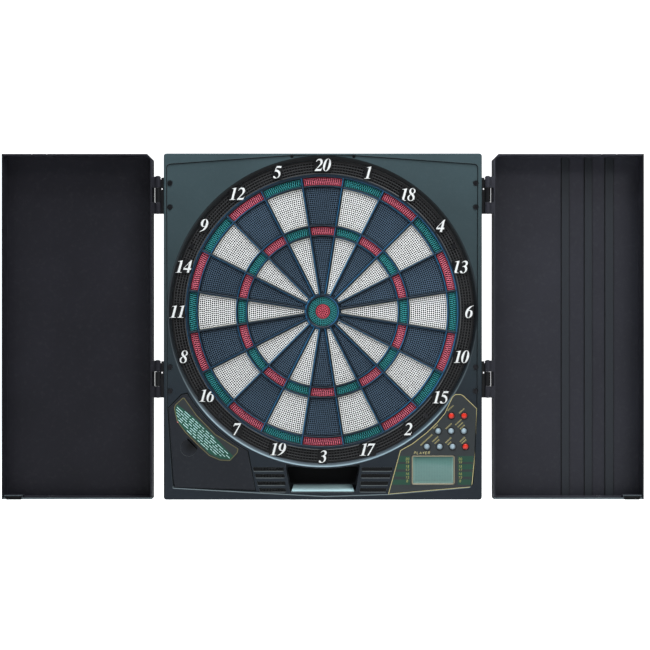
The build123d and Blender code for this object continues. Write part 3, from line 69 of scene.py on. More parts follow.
# Outer outlines of the numerals, an italic serif: x,z pairs in thousandths of the height
DIGIT_TEXT = {
    "0": """673,647 671,581 662,515 648,449 629,383 604,318 575,255 543,198 508,146 471,100 430,60
    394,31 356,8 317,-8 276,-17 234,-20 191,-17 152,-7 118,11 87,35 61,66 39,103 22,145 10,192
    2,244 0,302 2,367 10,432 22,497 39,561 61,624 88,686 117,744 149,799 184,850 223,898 260,934
    302,963 349,984 399,996 454,1000 494,996 530,985 562,966 591,939 616,905 636,864 653,818
    664,766 671,709""",
    "1": """606,1000 381,180 373,152 368,129 363,110 361,97 360,88 361,76 365,67 371,58 379,52
    390,47 404,43 423,40 446,37 473,35 505,34 505,0 0,0 0,34 32,36 60,40 85,46 105,53 122,62
    135,74 148,88 159,107 169,129 177,154 359,805 362,820 364,831 366,840 367,846 365,867 356,880
    342,890 323,896 297,898 280,897 262,896 243,895 225,893 206,890 209,924 282,934 358,947
    437,963 520,980""",
    "2": """165,742 133,760 153,803 176,841 201,877 230,908 261,936 295,959 332,977 370,990 410,997
    452,1000 495,997 534,989 569,975 600,955 628,930 651,901 669,869 682,834 690,795 693,754
    691,720 684,685 674,651 660,618 642,584 619,550 592,516 560,480 523,444 482,407 195,163
    397,163 433,163 465,166 493,171 517,177 537,185 554,196 571,211 587,230 603,253 618,280
    653,280 536,0 0,0 0,35 130,170 210,254 278,328 336,394 383,450 419,498 447,540 469,581
    484,621 493,659 496,697 491,759 475,807 448,841 410,861 362,868 318,863 277,848 238,823
    200,788""",
    "3": """192,786 161,805 212,875 267,930 328,969 393,992 464,1000 499,998 531,991 562,979 590,963
    616,943 639,919 657,893 669,864 677,834 679,801 672,743 651,693 617,649 568,613 505,583
    529,561 549,542 567,523 581,504 593,485 602,465 609,443 614,420 617,394 618,366 613,305
    598,247 574,192 540,142 496,94 444,54 389,22 328,-1 263,-14 193,-19 159,-18 128,-14 100,-8
    74,1 52,12 33,26 19,41 8,58 2,77 0,98 1,113 4,126 8,139 15,150 23,160 33,168 45,175 57,179
    71,182 86,183 99,182 111,180 122,176 132,170 141,163 150,154 159,144 168,133 177,120 185,107
    193,94 201,83 207,73 213,66 218,60 227,53 237,47 249,43 262,40 277,40 302,42 327,51 349,66
    370,86 390,112 407,142 421,173 430,206 436,241 438,277 436,317 429,354 419,386 404,415
    385,441 371,455 357,467 343,477 328,485 313,491 296,496 277,500 256,503 232,506 206,508
    212,540 312,568 390,604 446,649 479,702 490,764 485,812 470,849 445,875 409,891 363,896
    343,895 324,892 307,888 290,881 275,873 259,862 243,848 227,830 210,810""",
    "4": """758,1000 584,363 687,363 647,220 546,220 485,0 297,0 357,220 0,220 41,373 666,1000""",
    "5": """728,980 675,820 305,820 255,707 300,699 338,691 371,683 397,676 417,669 435,662 453,652
    472,640 492,626 512,609 551,570 581,527 602,479 615,425 619,367 615,306 600,248 576,194
    542,143 499,95 449,54 394,22 334,-1 270,-14 201,-19 165,-18 133,-14 104,-8 77,1 54,12 35,26
    20,41 9,58 2,76 0,97 1,111 4,125 9,137 15,148 24,158 34,167 46,173 58,178 72,181 86,182
    111,178 134,169 155,153 174,131 190,102 204,80 219,62 236,50 255,42 277,40 304,42 331,51
    357,66 382,86 406,112 428,142 444,173 456,206 463,241 466,277 464,305 459,332 452,359 441,384
    427,408 410,432 391,453 369,472 345,489 318,504 288,517 254,527 215,535 171,541 123,545
    315,980""",
    "6": """703,994 712,959 612,916 521,858 440,786 368,699 305,599 322,606 340,611 358,615 377,617
    395,618 435,615 471,608 503,595 532,577 557,553 578,525 594,493 606,456 613,414 615,367
    611,302 598,241 578,185 548,134 511,88 467,48 420,18 369,-4 314,-18 255,-22 208,-19 166,-9
    129,7 95,29 67,57 43,91 24,130 11,174 3,223 0,277 3,336 11,395 24,453 43,509 67,564 97,618
    130,668 168,716 211,761 258,804 297,835 335,862 373,886 410,907 447,924 487,939 532,953
    583,967 640,981""",
    "7": """693,980 135,0 0,0 486,814 300,814 254,813 214,811 181,807 153,801 133,794 115,783
    97,769 80,751 63,728 47,701 9,701 136,980""",
    "8": """264,499 264,505 240,530 220,554 203,577 190,598 179,619 170,639 164,660 159,682 156,706
    155,731 158,777 168,820 184,859 207,895 236,926 269,953 306,973 346,988 389,997 435,1000
    479,997 521,990 559,977 594,959 625,936 649,911 668,884 682,855 690,824 693,791 691,760
    685,731 675,704 662,679 644,655 622,633 595,612 563,593 526,574 483,556 483,551 510,519
    533,490 553,462 569,436 582,411 592,388 599,363 605,337 608,310 609,283 605,230 594,181
    575,137 549,98 515,63 475,33 431,10 383,-6 331,-16 275,-19 227,-16 183,-8 143,5 107,24 75,48
    48,76 27,108 12,143 3,182 0,224 3,260 10,295 23,326 41,356 64,384 93,409 127,434 167,457
    212,479""",
    "9": """9,-15 0,22 102,62 194,118 275,190 346,277 406,379 387,372 369,366 351,362 333,360
    316,359 278,361 243,369 211,383 182,402 156,426 134,455 117,487 105,522 98,561 95,603 99,668
    112,728 133,785 162,837 200,885 244,926 291,959 342,982 397,995 455,1000 497,997 535,990
    570,977 601,959 628,936 659,898 682,855 699,807 710,755 713,697 710,633 700,571 683,509
    660,447 630,387 594,328 553,274 508,223 458,177 403,135 369,112 335,91 302,73 268,57 235,43
    199,31 159,19 114,7 64,-4""",
}
DIGITS = {digit: [tuple(int(value) / 1000 for value in pair.split(",")) for pair in text.split()]
          for digit, text in DIGIT_TEXT.items()}

# ---------------------------------------------------------------- material tools
MATERIALS = {}


class Shader:
    """A new material, with short ways to build its node tree."""

    def __init__(self, name):
        self.material = MATERIALS[name] = bpy.data.materials.new(name)
        self.material.use_nodes = True
        self.tree = self.material.node_tree
        self.coords = self.node("ShaderNodeTexCoord").outputs["Object"]

    def node(self, kind, **settings):
        node = self.tree.nodes.new(kind)
        for key, value in settings.items():
            setattr(node, key, value)
        return node

    def link(self, output, socket):
        self.tree.links.new(output, socket)

    def feed(self, socket, value):
        """Sets a socket to a number or a colour, or links an output to it."""
        if isinstance(value, (int, float)):
            socket.default_value = value
        elif isinstance(value, tuple):
            socket.default_value = (*value, 1)
        else:
            self.link(value, socket)

    def axes(self):
        """Outputs X, Y and Z of the object coordinates, in metres."""
        split = self.node("ShaderNodeSeparateXYZ")
        self.link(self.coords, split.inputs[0])
        return split.outputs

    def noise(self, scale, detail=3.0, rough=0.55, stretch=None):
        noise = self.node("ShaderNodeTexNoise")
        noise.inputs["Scale"].default_value = scale
        noise.inputs["Detail"].default_value = detail
        noise.inputs["Roughness"].default_value = rough
        source = self.coords
        if stretch:
            mapping = self.node("ShaderNodeMapping")
            mapping.inputs["Scale"].default_value = stretch
            self.link(source, mapping.inputs["Vector"])
            source = mapping.outputs["Vector"]
        self.link(source, noise.inputs["Vector"])
        return noise.outputs["Fac"]

    def ramp(self, factor, stops):
        """Colour ramp; a stop is (position, colour)."""
        ramp = self.node("ShaderNodeValToRGB")
        elements = ramp.color_ramp.elements
        for element, (position, colour) in ((elements[0], stops[0]), (elements[1], stops[-1])):
            element.position, element.color = position, (*colour, 1)
        for position, colour in stops[1:-1]:
            elements.new(position).color = (*colour, 1)
        self.link(factor, ramp.inputs["Fac"])
        return ramp.outputs["Color"]

    def math(self, operation, first, second=None, clamp=False):
        node = self.node("ShaderNodeMath", operation=operation, use_clamp=clamp)
        self.feed(node.inputs[0], first)
        if second is not None:
            self.feed(node.inputs[1], second)
        return node.outputs[0]

    def fade(self, value, zero, one):
        """0 to 1 as the value goes from zero to one, clamped."""
        return self.math("DIVIDE", self.math("SUBTRACT", value, zero), one - zero, clamp=True)

    def length(self, first, second):
        squares = [self.math("MULTIPLY", side, side) for side in (first, second)]
        return self.math("SQRT", self.math("ADD", *squares))

    def mix(self, factor, first, second, blend="MIX"):
        node = self.node("ShaderNodeMix", data_type="RGBA", blend_type=blend)
        for socket, value in ((0, factor), (6, first), (7, second)):
            self.feed(node.inputs[socket], value)
        return node.outputs[2]

    def dot(self, first, second):
        """Dot product of an output with another output or a fixed vector."""
        node = self.node("ShaderNodeVectorMath", operation="DOT_PRODUCT")
        self.link(first, node.inputs[0])
        if isinstance(second, Vector):
            node.inputs[1].default_value = second
        else:
            self.link(second, node.inputs[1])
        return node.outputs["Value"]

    def bump(self, height, strength, distance, normal=None):
        node = self.node("ShaderNodeBump")
        node.inputs["Strength"].default_value = strength
        node.inputs["Distance"].default_value = distance
        self.link(height, node.inputs["Height"])
        if normal is not None:
            self.link(normal, node.inputs["Normal"])
        return node.outputs["Normal"]

    def finish(self, **values):
        """Sets the Principled shader's inputs; an underscore stands for a space."""
        bsdf = self.tree.nodes["Principled BSDF"]
        for key, value in values.items():
            self.feed(bsdf.inputs[key.replace("_", " ")], value)
        return self.material


def shade(colour, factor):
    return tuple(max(0.0, min(1.0, channel * factor)) for channel in colour)


def grey(value):
    return (value, value, value)


def zoned(shader, colour, zones, spots):
    """Colour by place, in mm. A zone is (x range, z range, h range, colour), where None leaves
    a range or a side of it open; a spot is (x, z, radius, soft edge, colour)."""
    axes = shader.axes()
    height = shader.math("MULTIPLY", axes["Y"], -1.0)
    for x_range, z_range, h_range, zone_colour in zones:
        inside = None
        for value, limits in ((axes["X"], x_range), (axes["Z"], z_range), (height, h_range)):
            if limits is None:
                continue
            within = None
            for operation, limit in zip(("GREATER_THAN", "LESS_THAN"), limits):
                if limit is not None:
                    test = shader.math(operation, value, limit / 1000.0)
                    within = test if within is None else shader.math("MULTIPLY", within, test)
            inside = within if inside is None else shader.math("MULTIPLY", inside, within)
        colour = shader.mix(inside, colour, zone_colour)
    for x, z, radius, soft, spot_colour in spots:
        away = shader.length(shader.math("SUBTRACT", axes["X"], x / 1000.0),
                             shader.math("SUBTRACT", axes["Z"], z / 1000.0))
        inwards = shader.math("SUBTRACT", (radius + soft) / 1000.0, away)
        colour = shader.mix(shader.math("DIVIDE", inwards, soft / 1000.0, clamp=True),
                            colour, spot_colour)
    return colour


def moulded(name, base, rough=0.45, grain=1500.0, grain_depth=0.00006, grain_strength=0.5,
            blotch=0.16, dust=0.0, spec=0.5, coat=0.0, wear=None, edge=0.0,
            by_height=None, painted_light_by_radius=None, zones=(), spots=(), flank_highlight=None):
    """Moulded plastic: fine grain as bump and roughness, and slow colour drift (blotch).

    edge is the radius of rounded-looking edges in metres, and wear their
    colour: edge wear and painted highlight where lighter, painted shade where darker.
    by_height is a ramp of painted light and shade from the foot of the board to its
    top, painted_light_by_radius (r0, r1, ramp) one outwards from the target's axis, and
    flank_highlight (direction, colour, gain) paints a highlight on the flanks that lean towards a
    direction.
    """
    shader = Shader(name)
    slow = shader.noise(9.0, detail=4.0, rough=0.6)
    fine = shader.noise(grain, detail=2.0, rough=0.5)
    colour = shader.ramp(slow, [(0.3, shade(base, 1 - blotch)), (0.7, shade(base, 1 + blotch))])
    colour = shader.mix(shader.math("MULTIPLY", fine, 0.35), colour, shade(base, 1.35))
    if dust:
        specks = shader.noise(160.0, detail=5.0, rough=0.7)
        specks = shader.math("SUBTRACT", specks, 0.52, clamp=True)
        specks = shader.math("MULTIPLY", specks, dust * 6, clamp=True)
        colour = shader.mix(specks, colour, (0.35, 0.36, 0.35))
    if by_height:
        rise = shader.fade(shader.axes()["Z"], zero=-0.28, one=0.23)
        colour = shader.mix(1.0, colour, shader.ramp(rise, by_height), blend="MULTIPLY")
    if flank_highlight:
        direction, flank_highlight_colour, gain = flank_highlight
        normal = shader.node("ShaderNodeNewGeometry").outputs["Normal"]
        lean = shader.dot(normal, Vector(direction).normalized())
        lean = shader.math("SUBTRACT", lean, 0.18, clamp=True)
        lean = shader.math("MULTIPLY", lean, gain, clamp=True)
        patchy = shader.math("ADD", slow, 0.35)
        colour = shader.mix(shader.math("MULTIPLY", lean, patchy, clamp=True),
                            colour, flank_highlight_colour)
    if painted_light_by_radius:
        r0, r1, stops = painted_light_by_radius
        axes = shader.axes()
        out = shader.fade(shader.length(axes["X"], axes["Z"]), zero=r0 / 1000, one=r1 / 1000)
        colour = shader.mix(1.0, colour, shader.ramp(out, stops), blend="MULTIPLY")
    if zones or spots:
        colour = zoned(shader, colour, zones, spots)
    edge_normal = None
    if edge:
        bevel = shader.node("ShaderNodeBevel")
        bevel.samples = 4
        bevel.inputs["Radius"].default_value = edge
        edge_normal = bevel.outputs["Normal"]
    if wear:
        # an edge is where the bevelled normal leaves the true one
        normal = shader.node("ShaderNodeNewGeometry").outputs["Normal"]
        edge_mask = shader.math("SUBTRACT", 0.985, shader.dot(edge_normal, normal), clamp=True)
        edge_mask = shader.math("MULTIPLY", edge_mask, 5.0, clamp=True)
        edge_mask = shader.math("MULTIPLY", edge_mask, shader.math("ADD", 0.35, slow))
        colour = shader.mix(shader.math("MULTIPLY", edge_mask, 0.75, clamp=True), colour, wear)
    return shader.finish(
        Base_Color=colour,
        Roughness=shader.math("ADD", shader.math("MULTIPLY", fine, 0.18), rough - 0.09),
        Normal=shader.bump(fine, grain_strength, grain_depth, edge_normal),
        Specular_IOR_Level=spec, Coat_Weight=coat)


def metal(name, base, rough):
    shader = Shader(name)
    brushed = shader.noise(900.0, detail=2.0, rough=0.5, stretch=(1, 1, 0.08))
    shader.finish(
        Base_Color=shader.ramp(brushed, [(0.3, shade(base, 0.8)), (0.7, shade(base, 1.1))]),
        Roughness=shader.math("ADD", shader.math("MULTIPLY", brushed, 0.2), rough - 0.1),
        Metallic=1.0, Normal=shader.bump(brushed, strength=0.3, distance=0.00003))


# ---------------------------------------------------------------- mesh tools
def to_metres(points):
    points = np.asarray(points, float).reshape(-1, 3)
    return np.stack([points[:, 0], -points[:, 2], points[:, 1]], axis=1) / 1000.0


def new_mesh(name, verts, faces, face_mats=None, materials=()):
    """Mesh from closed shells, its faces turned outwards."""
    mesh = bpy.data.meshes.new(name)
    mesh.from_pydata(to_metres(verts).tolist(), [], faces)
    for material in materials:
        mesh.materials.append(MATERIALS[material])
    if face_mats is not None:
        mesh.polygons.foreach_set("material_index", np.asarray(face_mats, np.int32))
    mesh.update()
    bm = bmesh.new()
    bm.from_mesh(mesh)
    bmesh.ops.recalc_face_normals(bm, faces=bm.faces)
    bm.to_mesh(mesh)
    bm.free()
    return mesh


def smooth_below(mesh, degrees):
    mesh.shade_smooth()
    mesh.set_sharp_from_angle(angle=math.radians(degrees))


def add_object(name, data):
    obj = bpy.data.objects.new(name, data)
    bpy.context.scene.collection.objects.link(obj)
    return obj


def place(name, mesh, body, node=None):
    """Puts a mesh in the scene: the body it rides, the node it replaces."""
    obj = add_object(name, mesh)
    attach(obj, body)
    if node:
        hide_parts(node)


def piece(name, verts, faces, materials, body, slot, face_mats=None, smooth=None, node=None):
    mesh = new_mesh(name, verts, faces, face_mats, materials)
    if smooth is not None:
        smooth_below(mesh, smooth)
    place(name, mesh, body, node)


class Build:
    """Collects closed shells into one mesh."""

    def __init__(self):
        self.verts, self.faces, self.mats = [], [], []

    def add(self, verts, faces, mat=0, own_mats=None):
        start = len(self.verts)
        self.verts.extend(verts)
        self.faces.extend([tuple(i + start for i in face) for face in faces])
        self.mats.extend([mat + own for own in own_mats or [0] * len(faces)])

    def piece(self, name, materials, body, slot, **options):
        piece(name, self.verts, self.faces, materials, body, slot, self.mats, **options)


def polar(radius, turns):
    """Point (x, z) at a share of a full turn, clockwise from the top."""
    angle = 2 * math.pi * turns
    return (radius * math.sin(angle), radius * math.cos(angle))


def level(outline, h):
    return [(x, z, h) for x, z in outline]


def loft(rings, closed=False):
    """Shell through equal rings of points: capped at its ends, or closed on itself."""
    count, ring_count = len(rings[0]), len(rings)
    faces = []
    for k in range(ring_count if closed else ring_count - 1):
        this, other = k * count, (k + 1) % ring_count * count
        for i in range(count):
            j = (i + 1) % count
            faces.append((this + i, this + j, other + j, other + i))
    if not closed:
        faces.append(tuple(range(count)))
        faces.append(tuple(reversed(range((ring_count - 1) * count, ring_count * count))))
    return [point for ring in rings for point in ring], faces


def lathe(profile, count):
    """Closed ring round the target's axis from a closed profile of (radius, h)."""
    return loft([[(*polar(r, i / count), h) for r, h in profile] for i in range(count)],
                closed=True)


def dome(profile, centre, count=48):
    """Solid of revolution: the profile runs from the axis at the back to the axis in front."""
    side = profile[1:-1]
    rows = len(side)
    verts, faces = [], []
    for i in range(count):
        for radius, h in side:
            x, z = polar(radius, i / count)
            verts.append((centre[0] + x, centre[1] + z, h))
    back, front = len(verts), len(verts) + 1
    verts += [(*centre, profile[0][1]), (*centre, profile[-1][1])]
    for i in range(count):
        j = (i + 1) % count
        faces.append((back, i * rows, j * rows))
        for k in range(rows - 1):
            faces.append((i * rows + k, i * rows + k + 1, j * rows + k + 1, j * rows + k))
        faces.append((i * rows + rows - 1, front, j * rows + rows - 1))
    return verts, faces


def inset(outline, distance):
    """Outline moved inwards corner by corner (outwards if negative), for either winding."""
    count = len(outline)
    corners = [(outline[i - 1], outline[i], outline[(i + 1) % count]) for i in range(count)]
    area = sum(here[0] * after[1] - after[0] * here[1] for _, here, after in corners)
    sign = 1.0 if area > 0 else -1.0
    moved = []
    for before, here, after in corners:
        normals = []
        for start, end in ((before, here), (here, after)):
            along = (end[0] - start[0], end[1] - start[1])
            length = math.hypot(*along) or 1e-9
            normals.append((-along[1] / length * sign, along[0] / length * sign))
        (ax, az), (bx, bz) = normals
        # limits how far a sharp corner moves
        mitre = max(1 + ax * bx + az * bz, 0.35)
        moved.append((here[0] + (ax + bx) / mitre * distance,
                      here[1] + (az + bz) / mitre * distance))
    return moved


def prism(outline, h0, h1, bevel=0.0):
    """Closed plate with its front edge rounded over by bevel."""
    rings = [level(outline, h0)]
    if bevel:
        steps = 2
        for i in range(steps + 1):
            angle = math.pi / 2 * i / steps
            rings.append(level(inset(outline, bevel * (1 - math.cos(angle))),
                               h1 - bevel * (1 - math.sin(angle))))
    else:
        rings.append(level(outline, h1))
    return loft(rings)


def round_corner(before, point, after, radius, steps=5):
    """The points that replace one corner; a nearly straight corner stays."""
    corner = Vector(point)
    back, ahead = Vector(before) - corner, Vector(after) - corner
    angle = back.angle(ahead)
    if angle > math.radians(176):
        return [point]
    reach = min(radius / math.tan(angle / 2), back.length * 0.48, ahead.length * 0.48)
    radius = reach * math.tan(angle / 2)
    back.normalize()
    ahead.normalize()
    centre = corner + (back + ahead).normalized() * (radius / math.sin(angle / 2))
    start, end = corner + back * reach - centre, corner + ahead * reach - centre
    start_angle = math.atan2(start.y, start.x)
    sweep = math.atan2(end.y, end.x) - start_angle
    sweep = (sweep + math.pi) % (2 * math.pi) - math.pi
    angles = [start_angle + sweep * k / steps for k in range(steps + 1)]
    return [(centre.x + radius * math.cos(a), centre.y + radius * math.sin(a)) for a in angles]


def rounded(outline, radius, steps=5):
    points = []
    for i, point in enumerate(outline):
        after = outline[(i + 1) % len(outline)]
        points += round_corner(outline[i - 1], point, after, radius, steps)
    return points


def rect(x0, z0, x1, z1, radius):
    return rounded([(x0, z0), (x1, z0), (x1, z1), (x0, z1)], radius)


def flat_ring(outer, inner, h0, h1):
    return loft([level(outer, h0), level(inner, h0), level(inner, h1), level(outer, h1)],
                closed=True)


def outline_ink(outline, width, h0, thick):
    """Flat line of a given width along an outline."""
    return flat_ring(inset(outline, -width / 2), inset(outline, width / 2), h0, h0 + thick)


def strip(start, end, width, h, thick=0.05):
    """Flat straight line between two points."""
    along = Vector((end[0] - start[0], end[1] - start[1])).normalized()
    x, z = along.y * width / 2, along.x * width / 2
    outline = [(start[0] - x, start[1] + z), (end[0] - x, end[1] + z),
               (end[0] + x, end[1] - z), (start[0] + x, start[1] - z)]
    return prism(outline, h, h + thick)


def dress_cad(node, material, smooth=22.0):
    """Gives a CAD node its material and smooth shading, and leaves its shape alone."""
    obj = nodes[node]
    obj.data.materials.clear()
    obj.data.materials.append(MATERIALS[material])
    smooth_below(obj.data, smooth)


# ---------------------------------------------------------------- materials of the target
# name, base colour, roughness, colour drift, specular level
# painted sheen: each face colour, on the pierced faces between the holes, is a lighter copy of the
# plastic on margins, edges and walls
for name, base, rough, blotch, spec in (
    ("navy_plastic", (0.007, 0.011, 0.017), 0.5, 0.2, 0.25),
    ("navy_face", (0.058, 0.095, 0.140), 0.5, 0.25, 0.3),
    ("white_plastic", (0.74, 0.72, 0.62), 0.5, 0.05, 0.5),
    ("white_face", (0.95, 0.945, 0.92), 0.5, 0.04, 0.5),
    ("teal_plastic", (0.006, 0.085, 0.085), 0.4, 0.2, 0.5),
    ("teal_face", (0.045, 0.335, 0.345), 0.45, 0.2, 0.3),
    ("red_plastic", (0.42, 0.014, 0.035), 0.4, 0.15, 0.5),
    ("red_face", (0.95, 0.185, 0.265), 0.45, 0.15, 0.3),
    ("bull_teal_face", (0.024, 0.185, 0.19), 0.45, 0.2, 0.3),
    ("bull_red_face", (0.58, 0.085, 0.125), 0.45, 0.15, 0.3),
):
    moulded(name, base, rough=rough, grain=900, blotch=blotch, spec=spec)
# name, base colour, roughness: bottoms of the holes, then their walls by segment colour, darkened
# as painted shade
for name, base, rough in (
    ("hole_shadow", (0.004, 0.004, 0.005), 0.8),
    ("hole_navy", (0.003, 0.004, 0.007), 0.7),
    ("hole_white", (0.012, 0.012, 0.012), 0.7),
    ("hole_teal", (0.002, 0.012, 0.013), 0.7),
    ("hole_red", (0.035, 0.003, 0.006), 0.7),
):
    moulded(name, base, rough=rough, spec=0.1, grain=1500, blotch=0.2)

# ---------------------------------------------------------------- pierced solids
HOLE_SIDES = 8
BODY, FACE, HOLE_WALL, HOLE_BOTTOM = range(4)       # material indices


def stitch(outer, inner, centre):
    """Triangles between two loops round a centre; both are lists of (index, (x, z))."""
    def angle(tagged):
        return math.atan2(tagged[1][1] - centre[1], tagged[1][0] - centre[0])

    outer, inner = sorted(outer, key=angle), sorted(inner, key=angle)
    outer_angles, inner_angles = [angle(p) for p in outer], [angle(p) for p in inner]

    def next_angle(angles, i):
        if i >= len(angles):
            return 1e9
        return angles[(i + 1) % len(angles)] + (2 * math.pi if i + 1 >= len(angles) else 0)

    i = j = 0
    triangles = []
    while i < len(outer) or j < len(inner):
        a, b = outer[i % len(outer)][0], inner[j % len(inner)][0]
        if next_angle(outer_angles, i) <= next_angle(inner_angles, j):
            i += 1
            triangles.append((a, outer[i % len(outer)][0], b))
        else:
            j += 1
            triangles.append((a, inner[j % len(inner)][0], b))
    return triangles


class Pierced(Build):
    """A solid whose points are shared by place, with blind holes in its face."""

    def __init__(self):
        super().__init__()
        self.index = {}

    def point(self, x, z, h):
        key = (round(x, 4), round(z, 4), round(h, 4))
        if key not in self.index:
            self.index[key] = len(self.verts)
            self.verts.append((x, z, h))
        return self.index[key]

    def points(self, outline, h):
        return [self.point(x, z, h) for x, z in outline]

    def face(self, indices, mat):
        indices = [i for k, i in enumerate(indices) if i != indices[k - 1]]
        if len(set(indices)) >= 3:
            self.faces.append(tuple(indices))
            self.mats.append(mat)

    def join(self, ring, other, mat):
        for k in range(len(ring)):
            j = (k + 1) % len(ring)
            self.face((ring[k], ring[j], other[j], other[k]), mat)

    def stitch(self, outer, inner, centre, mat):
        def tag(ring):
            return [(i, self.verts[i][:2]) for i in ring]

        for triangle in stitch(tag(outer), tag(inner), centre):
            self.face(triangle, mat)

    def hole(self, outline, centre, radius, top, depth, turn):
        """One cell: its outline, and in it a round blind hole with a small chamfer."""
        def ring(r, h):
            angles = [turn + 2 * math.pi * k / HOLE_SIDES for k in range(HOLE_SIDES)]
            return self.points([(centre[0] + r * math.cos(a), centre[1] + r * math.sin(a))
                                for a in angles], h)

        cell = self.points(outline, top)
        mouth = ring(radius + 0.1, top)
        throat = ring(radius, top - 0.12)
        bottom = ring(radius * 0.82, top - depth)
        self.stitch(cell, mouth, centre, FACE)
        self.join(mouth, throat, HOLE_WALL)
        self.join(throat, bottom, HOLE_WALL)
        self.face(bottom, HOLE_BOTTOM)


# ---------------------------------------------------------------- segments of the target
PITCH = 2.9                 # aim for the distance between holes along a row
HOLE_R, HOLE_DEPTH = 1.1, 5.0
EDGE_ROUND = 0.4
HOLE_MARGIN = 0.8125        # plain border round the pierced area, rounded edge included
# inner radius, outer radius, rows of holes, 0 for the main colour or 1 for the second
SEGMENTS = [(27.4, 109.5, 28, 0), (112.8, 124.0, 4, 1), (127.6, 181.8, 18, 0),
            (185.4, 196.2, 4, 1)]


def segment_solid(r_in, r_out, rows):
    """One segment at the top of the target, pierced by rows of blind holes."""
    solid = Pierced()

    def spot(out, side, offset):
        """Place by share of the depth (0 to 1) and of the half width (-1 to 1)."""
        r = (r_in + offset) + (r_out - r_in - 2 * offset) * out
        half_angle = math.radians(SECTOR / 2) - math.asin((SPOKE_HALF + offset) / r)
        return (r * math.sin(side * half_angle), r * math.cos(side * half_angle))

    outs = [i / rows for i in range(rows + 1)]
    mids = [(outs[i] + outs[i + 1]) / 2 for i in range(rows)]
    counts = [max(1, round((spot(mid, 1, HOLE_MARGIN)[0] * 2) / PITCH)) for mid in mids]
    # cell borders along each row; a line between two rows takes the corners of both
    borders = [[round(-1 + 2 * j / count, 9) for j in range(count + 1)] for count in counts]
    lines = [sorted(set(borders[max(i - 1, 0)]) | set(borders[min(i, rows - 1)]))
             for i in range(rows + 1)]
    for i in range(rows):
        for left, right in zip(borders[i], borders[i + 1 - 1][1:]):
            lower, upper = [[spot(outs[k], side, HOLE_MARGIN) for side in lines[k]
                             if left <= side <= right] for k in (i, i + 1)]
            centre = spot(mids[i], (left + right) / 2, HOLE_MARGIN)
            width = math.dist(lower[0], lower[-1])
            solid.hole(lower + upper[::-1], centre, min(HOLE_R, width * 0.385), SEG_FACE,
                       HOLE_DEPTH, turn=math.radians(22.5))
    # round the pierced area: plain margin, rounded edge, wall and flange as (offset, h)
    loop = [(outs[0], side) for side in lines[0]]
    loop += [(out, 1) for out in outs[1:-1]]
    loop += [(outs[-1], side) for side in reversed(lines[-1])]
    loop += [(out, -1) for out in reversed(outs[1:-1])]
    levels = [(HOLE_MARGIN, SEG_FACE), (EDGE_ROUND, SEG_FACE)]
    for k in (1, 2, 3):
        angle = math.pi / 2 * k / 3
        levels.append((EDGE_ROUND * (1 - math.sin(angle)),
                       SEG_FACE - EDGE_ROUND * (1 - math.cos(angle))))
    levels += [(0.0, SEG_FLANGE), (-1.2, SEG_FLANGE), (-1.4, SEG_FLANGE - 0.2), (-1.4, SEG_BACK)]
    rings = [solid.points([spot(out, side, offset) for out, side in loop], h)
             for offset, h in levels]
    for ring, other in zip(rings, rings[1:]):
        solid.join(ring, other, BODY)
    solid.face(rings[-1], BODY)
    return solid


# the segments of the top number; each number gets a turned copy
top_number = Build()
for r_in, r_out, rows, kind in SEGMENTS:
    solid = segment_solid(r_in, r_out, rows)
    top_number.add(solid.verts, solid.faces, mat=4 * kind, own_mats=solid.mats)
template = new_mesh("segment_template", top_number.verts, top_number.faces, top_number.mats)
smooth_below(template, 40)
for i, number in enumerate(NUMBERS):
    mesh = template.copy()
    mesh.transform(Matrix.Rotation(math.radians(SECTOR * i), 4, "Y"))
    main, second = ("navy", "red") if i % 2 == 0 else ("white", "teal")
    for colour in (main, second):
        for material in (f"{colour}_plastic", f"{colour}_face", f"hole_{colour}", "hole_shadow"):
            mesh.materials.append(MATERIALS[material])
    place(f"target_{number:02d}", mesh, f"number_{number:02d}",
          node=f"segments_{number:02d}")
bpy.data.meshes.remove(template)

# ---------------------------------------------------------------- the two bulls
RIM_SIDES = 96


def bull_solid(radii, counts, outside, inside=None):
    """Rings of blind holes between the given radii, counts[k] of them in ring k.
    outside and inside are the (radius, h) profiles from the pierced face to the back."""
    solid = Pierced()

    def corners(k):
        """Shares of a turn at which circle k has corners."""
        divisions = counts[max(k - 1, 0):k + 1]
        if k in (0, len(radii) - 1):
            divisions = divisions + [RIM_SIDES]
        return sorted({round(j / count, 9) for count in divisions for j in range(count)})

    lines = [corners(k) for k in range(len(radii))]
    for k, count in enumerate(counts):
        for j in range(count):
            start, end = round(j / count, 9), round((j + 1) / count, 9)
            if count == 1:
                outline, centre = [polar(radii[1], turn) for turn in lines[1]], (0.0, 0.0)
            else:
                lower, upper = [[polar(radii[m], turn) for turn in lines[m] + [1.0]
                                 if start - 1e-9 <= turn <= end + 1e-9] for m in (k, k + 1)]
                outline = lower + upper[::-1]
                centre = polar((radii[k] + radii[k + 1]) / 2, (start + end) / 2)
            solid.hole(outline, centre, radius=0.98, top=BULL_FACE, depth=4.5,
                       turn=-2 * math.pi * (start + end) / 2)

    def skirt(radius, line, profile):
        rings = [solid.points([polar(r, turn) for turn in line], h)
                 for r, h in [(radius, BULL_FACE)] + profile]
        for ring, other in zip(rings, rings[1:]):
            solid.join(ring, other, BODY)
        return rings[-1]

    back = skirt(radii[-1], lines[-1], outside)
    if inside:
        solid.stitch(back, skirt(radii[0], lines[0], inside), (0.0, 0.0), BODY)
    else:
        solid.face(back, BODY)
    return solid


